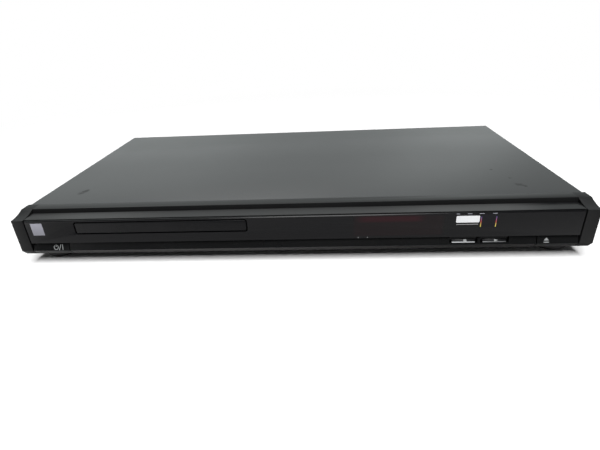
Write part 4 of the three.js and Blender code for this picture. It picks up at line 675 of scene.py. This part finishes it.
# Screws: five black cross-recessed screws hold the cover, three behind and one on each side.
# The heads are pressed, with a domed top and a cross recess.
screw_black = moulded("screw_black", (0.016, 0.016, 0.017), 0.32, 0.5 * mm, 0.004 * mm, {"Metallic": 0.6})
screw_low, screw_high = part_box("rear_screw_1")
head_radius, head_rise = (screw_high.x - screw_low.x) / 2, screw_high.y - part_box("top_cover")[1].y
shank_length = screw_high.y - screw_low.y - head_rise
screws = Recipe("screws", Head=head_radius, Rise=head_rise, Shank=1.4 * mm, Length=shank_length,
                Slot=0.75 * mm, Turn=(0.0, 0.0, 0.0), Material=screw_black)
head, rise, length, slot = (screws.size(label) for label in ("Head", "Rise", "Length", "Slot"))
ball = screws.node("GeometryNodeMeshUVSphere", sockets={"Segments": 32, "Rings": 16, "Radius": head})
dome = screws.moved(ball, screws.above(rise - head * 0.5), Scale=(1.0, 1.0, 0.5))
drum = screws.node("GeometryNodeMeshCylinder",
                   sockets={"Vertices": 32, "Radius": head * 0.97, "Depth": rise * 2.0})
raised = screws.moved(drum, screws.above(rise * 1.1))
cap = screws.node("GeometryNodeMeshBoolean", {"operation": "INTERSECT"}, {"Mesh 2": [dome, raised]})
rod = screws.node("GeometryNodeMeshCylinder",
                  sockets={"Vertices": 20, "Radius": screws.size("Shank"), "Depth": length})
shank = screws.moved(rod, screws.above(rise * 0.3 - length * 0.5))
solid = screws.node("GeometryNodeMeshBoolean", {"operation": "UNION"}, {"Mesh 2": [cap, shank]})
sunk, cross_span = screws.above(rise), head * 1.15
cross = [screws.brick(cross_span, slot, rise, sunk), screws.brick(slot, cross_span, rise, sunk)]
cut = screws.node("GeometryNodeMeshBoolean", {"operation": "DIFFERENCE"},
                  {"Mesh 1": solid, "Mesh 2": cross})
screws.ends(cut, screws.size("Turn"))


def screw_row(name, node_names, turn, place):
    """Screws in the places of some CAD screws, which they replace."""
    row = made(name, screws, [place(*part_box(node_name)) for node_name in node_names], "case", Turn=turn)
    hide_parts(*node_names)


screw_row("rear_screws", ("rear_screw_1", "rear_screw_2", "rear_screw_3"), (radians(-90), 0, 0),
          lambda low, high: ((low.x + high.x) / 2, high.y - head_rise, (low.z + high.z) / 2))
screw_row("left_screw", ("side_screw_left",), (0, radians(-90), 0),
          lambda low, high: (low.x + head_rise, (low.y + high.y) / 2, (low.z + high.z) / 2))
screw_row("right_screw", ("side_screw_right",), (0, radians(90), 0),
          lambda low, high: (high.x - head_rise, (low.y + high.y) / 2, (low.z + high.z) / 2))

# The floor is a plain white sheet, which runs into a white backdrop well clear of the player.
# A large soft panel in front and a weak one behind light it. The room's white shows in reflections,
# a little uneven from side to side.
floor_mesh = bpy.data.meshes.new("floor")
reach = 1.3
floor_corners = [(-reach, -reach, 0), (reach, -reach, 0), (reach, reach, 0), (-reach, reach, 0)]
floor_mesh.from_pydata(floor_corners, [], [(0, 1, 2, 3)])
floor = bpy.data.objects.new("floor", floor_mesh)
bpy.context.scene.collection.objects.link(floor)
paper = Finish(bpy.data.materials.new("white_sheet"))
floor_mesh.materials.append(paper.owner)
sheet = paper.node("ShaderNodeBsdfPrincipled", sockets={"Base Color": (0.83, 0.83, 0.83), "IOR": 1.01,
                                                        "Roughness": 0.9 + paper.noise(50 * mm) * 0.05})
backdrop = paper.node("ShaderNodeEmission", sockets={"Color": (1, 1, 1), "Strength": 1.0})
distance = paper.node("ShaderNodeVectorMath", {"operation": "LENGTH"}, {0: paper.place}, output="Value")
seen_far = paper.rise(distance, 0.40, 0.75) * paper.node("ShaderNodeLightPath", output="Is Camera Ray")
blended = paper.node("ShaderNodeMixShader", sockets={0: seen_far, 1: sheet, 2: backdrop})
paper.node("ShaderNodeOutputMaterial", sockets={"Surface": blended})

for lamp_name, size, energy, place in (("softbox", 2.0, 188, (0.1, -1.8, 3.0)),
                                       ("fill", 1.6, 22, (-0.3, 1.1, 3.2))):
    lamp = bpy.data.objects.new(lamp_name, bpy.data.lights.new(lamp_name, "AREA"))
    lamp.data.size = size
    lamp.data.energy = energy
    lamp.location = place
    lamp.rotation_euler = (-lamp.location).to_track_quat("-Z", "Y").to_euler()
    bpy.context.scene.collection.objects.link(lamp)

room = Finish(bpy.data.worlds.new("room"))
bpy.context.scene.world = room.owner
rays = {kind: room.node("ShaderNodeLightPath", output=f"Is {kind} Ray")
        for kind in ("Camera", "Glossy", "Transmission")}
direction = room.node("ShaderNodeTexCoord", output="Generated")
to_right, to_rear, to_top = (room.node("ShaderNodeSeparateXYZ", sockets={0: direction}, output=axis)
                             for axis in (0, 1, 2))
aside = room.rise(room.node("ShaderNodeMath", {"operation": "ABSOLUTE"}, {0: to_right}), 0.5, 1.0)
unevenness = (1 - room.between(to_right, -0.25, 0.15, 0.12) * 0.2
              + room.between(to_right, 0.2, 0.38, 0.06) * 0.15 - room.rise(to_right, 0.40, 0.50) * 0.4)
mirrored = ((0.10 + room.rise(to_rear, -0.2, 0.5)) * (1 - aside * 0.5) * unevenness
            * (0.80 + room.rise(to_top, 0.30, 0.62) * 0.85))
straight = rays["Camera"] + rays["Transmission"]
ambient = 0.08
strength = straight + rays["Glossy"] * mirrored + (1 - straight) * (1 - rays["Glossy"]) * ambient
room_color = room.tint(rays["Glossy"], (1, 1, 1), (0.94, 1, 0.995))
background = room.node("ShaderNodeBackground", sockets={"Color": room_color, "Strength": strength})
room.node("ShaderNodeOutputWorld", sockets={"Surface": background})
bpy.context.scene.view_settings.view_transform = "Standard"
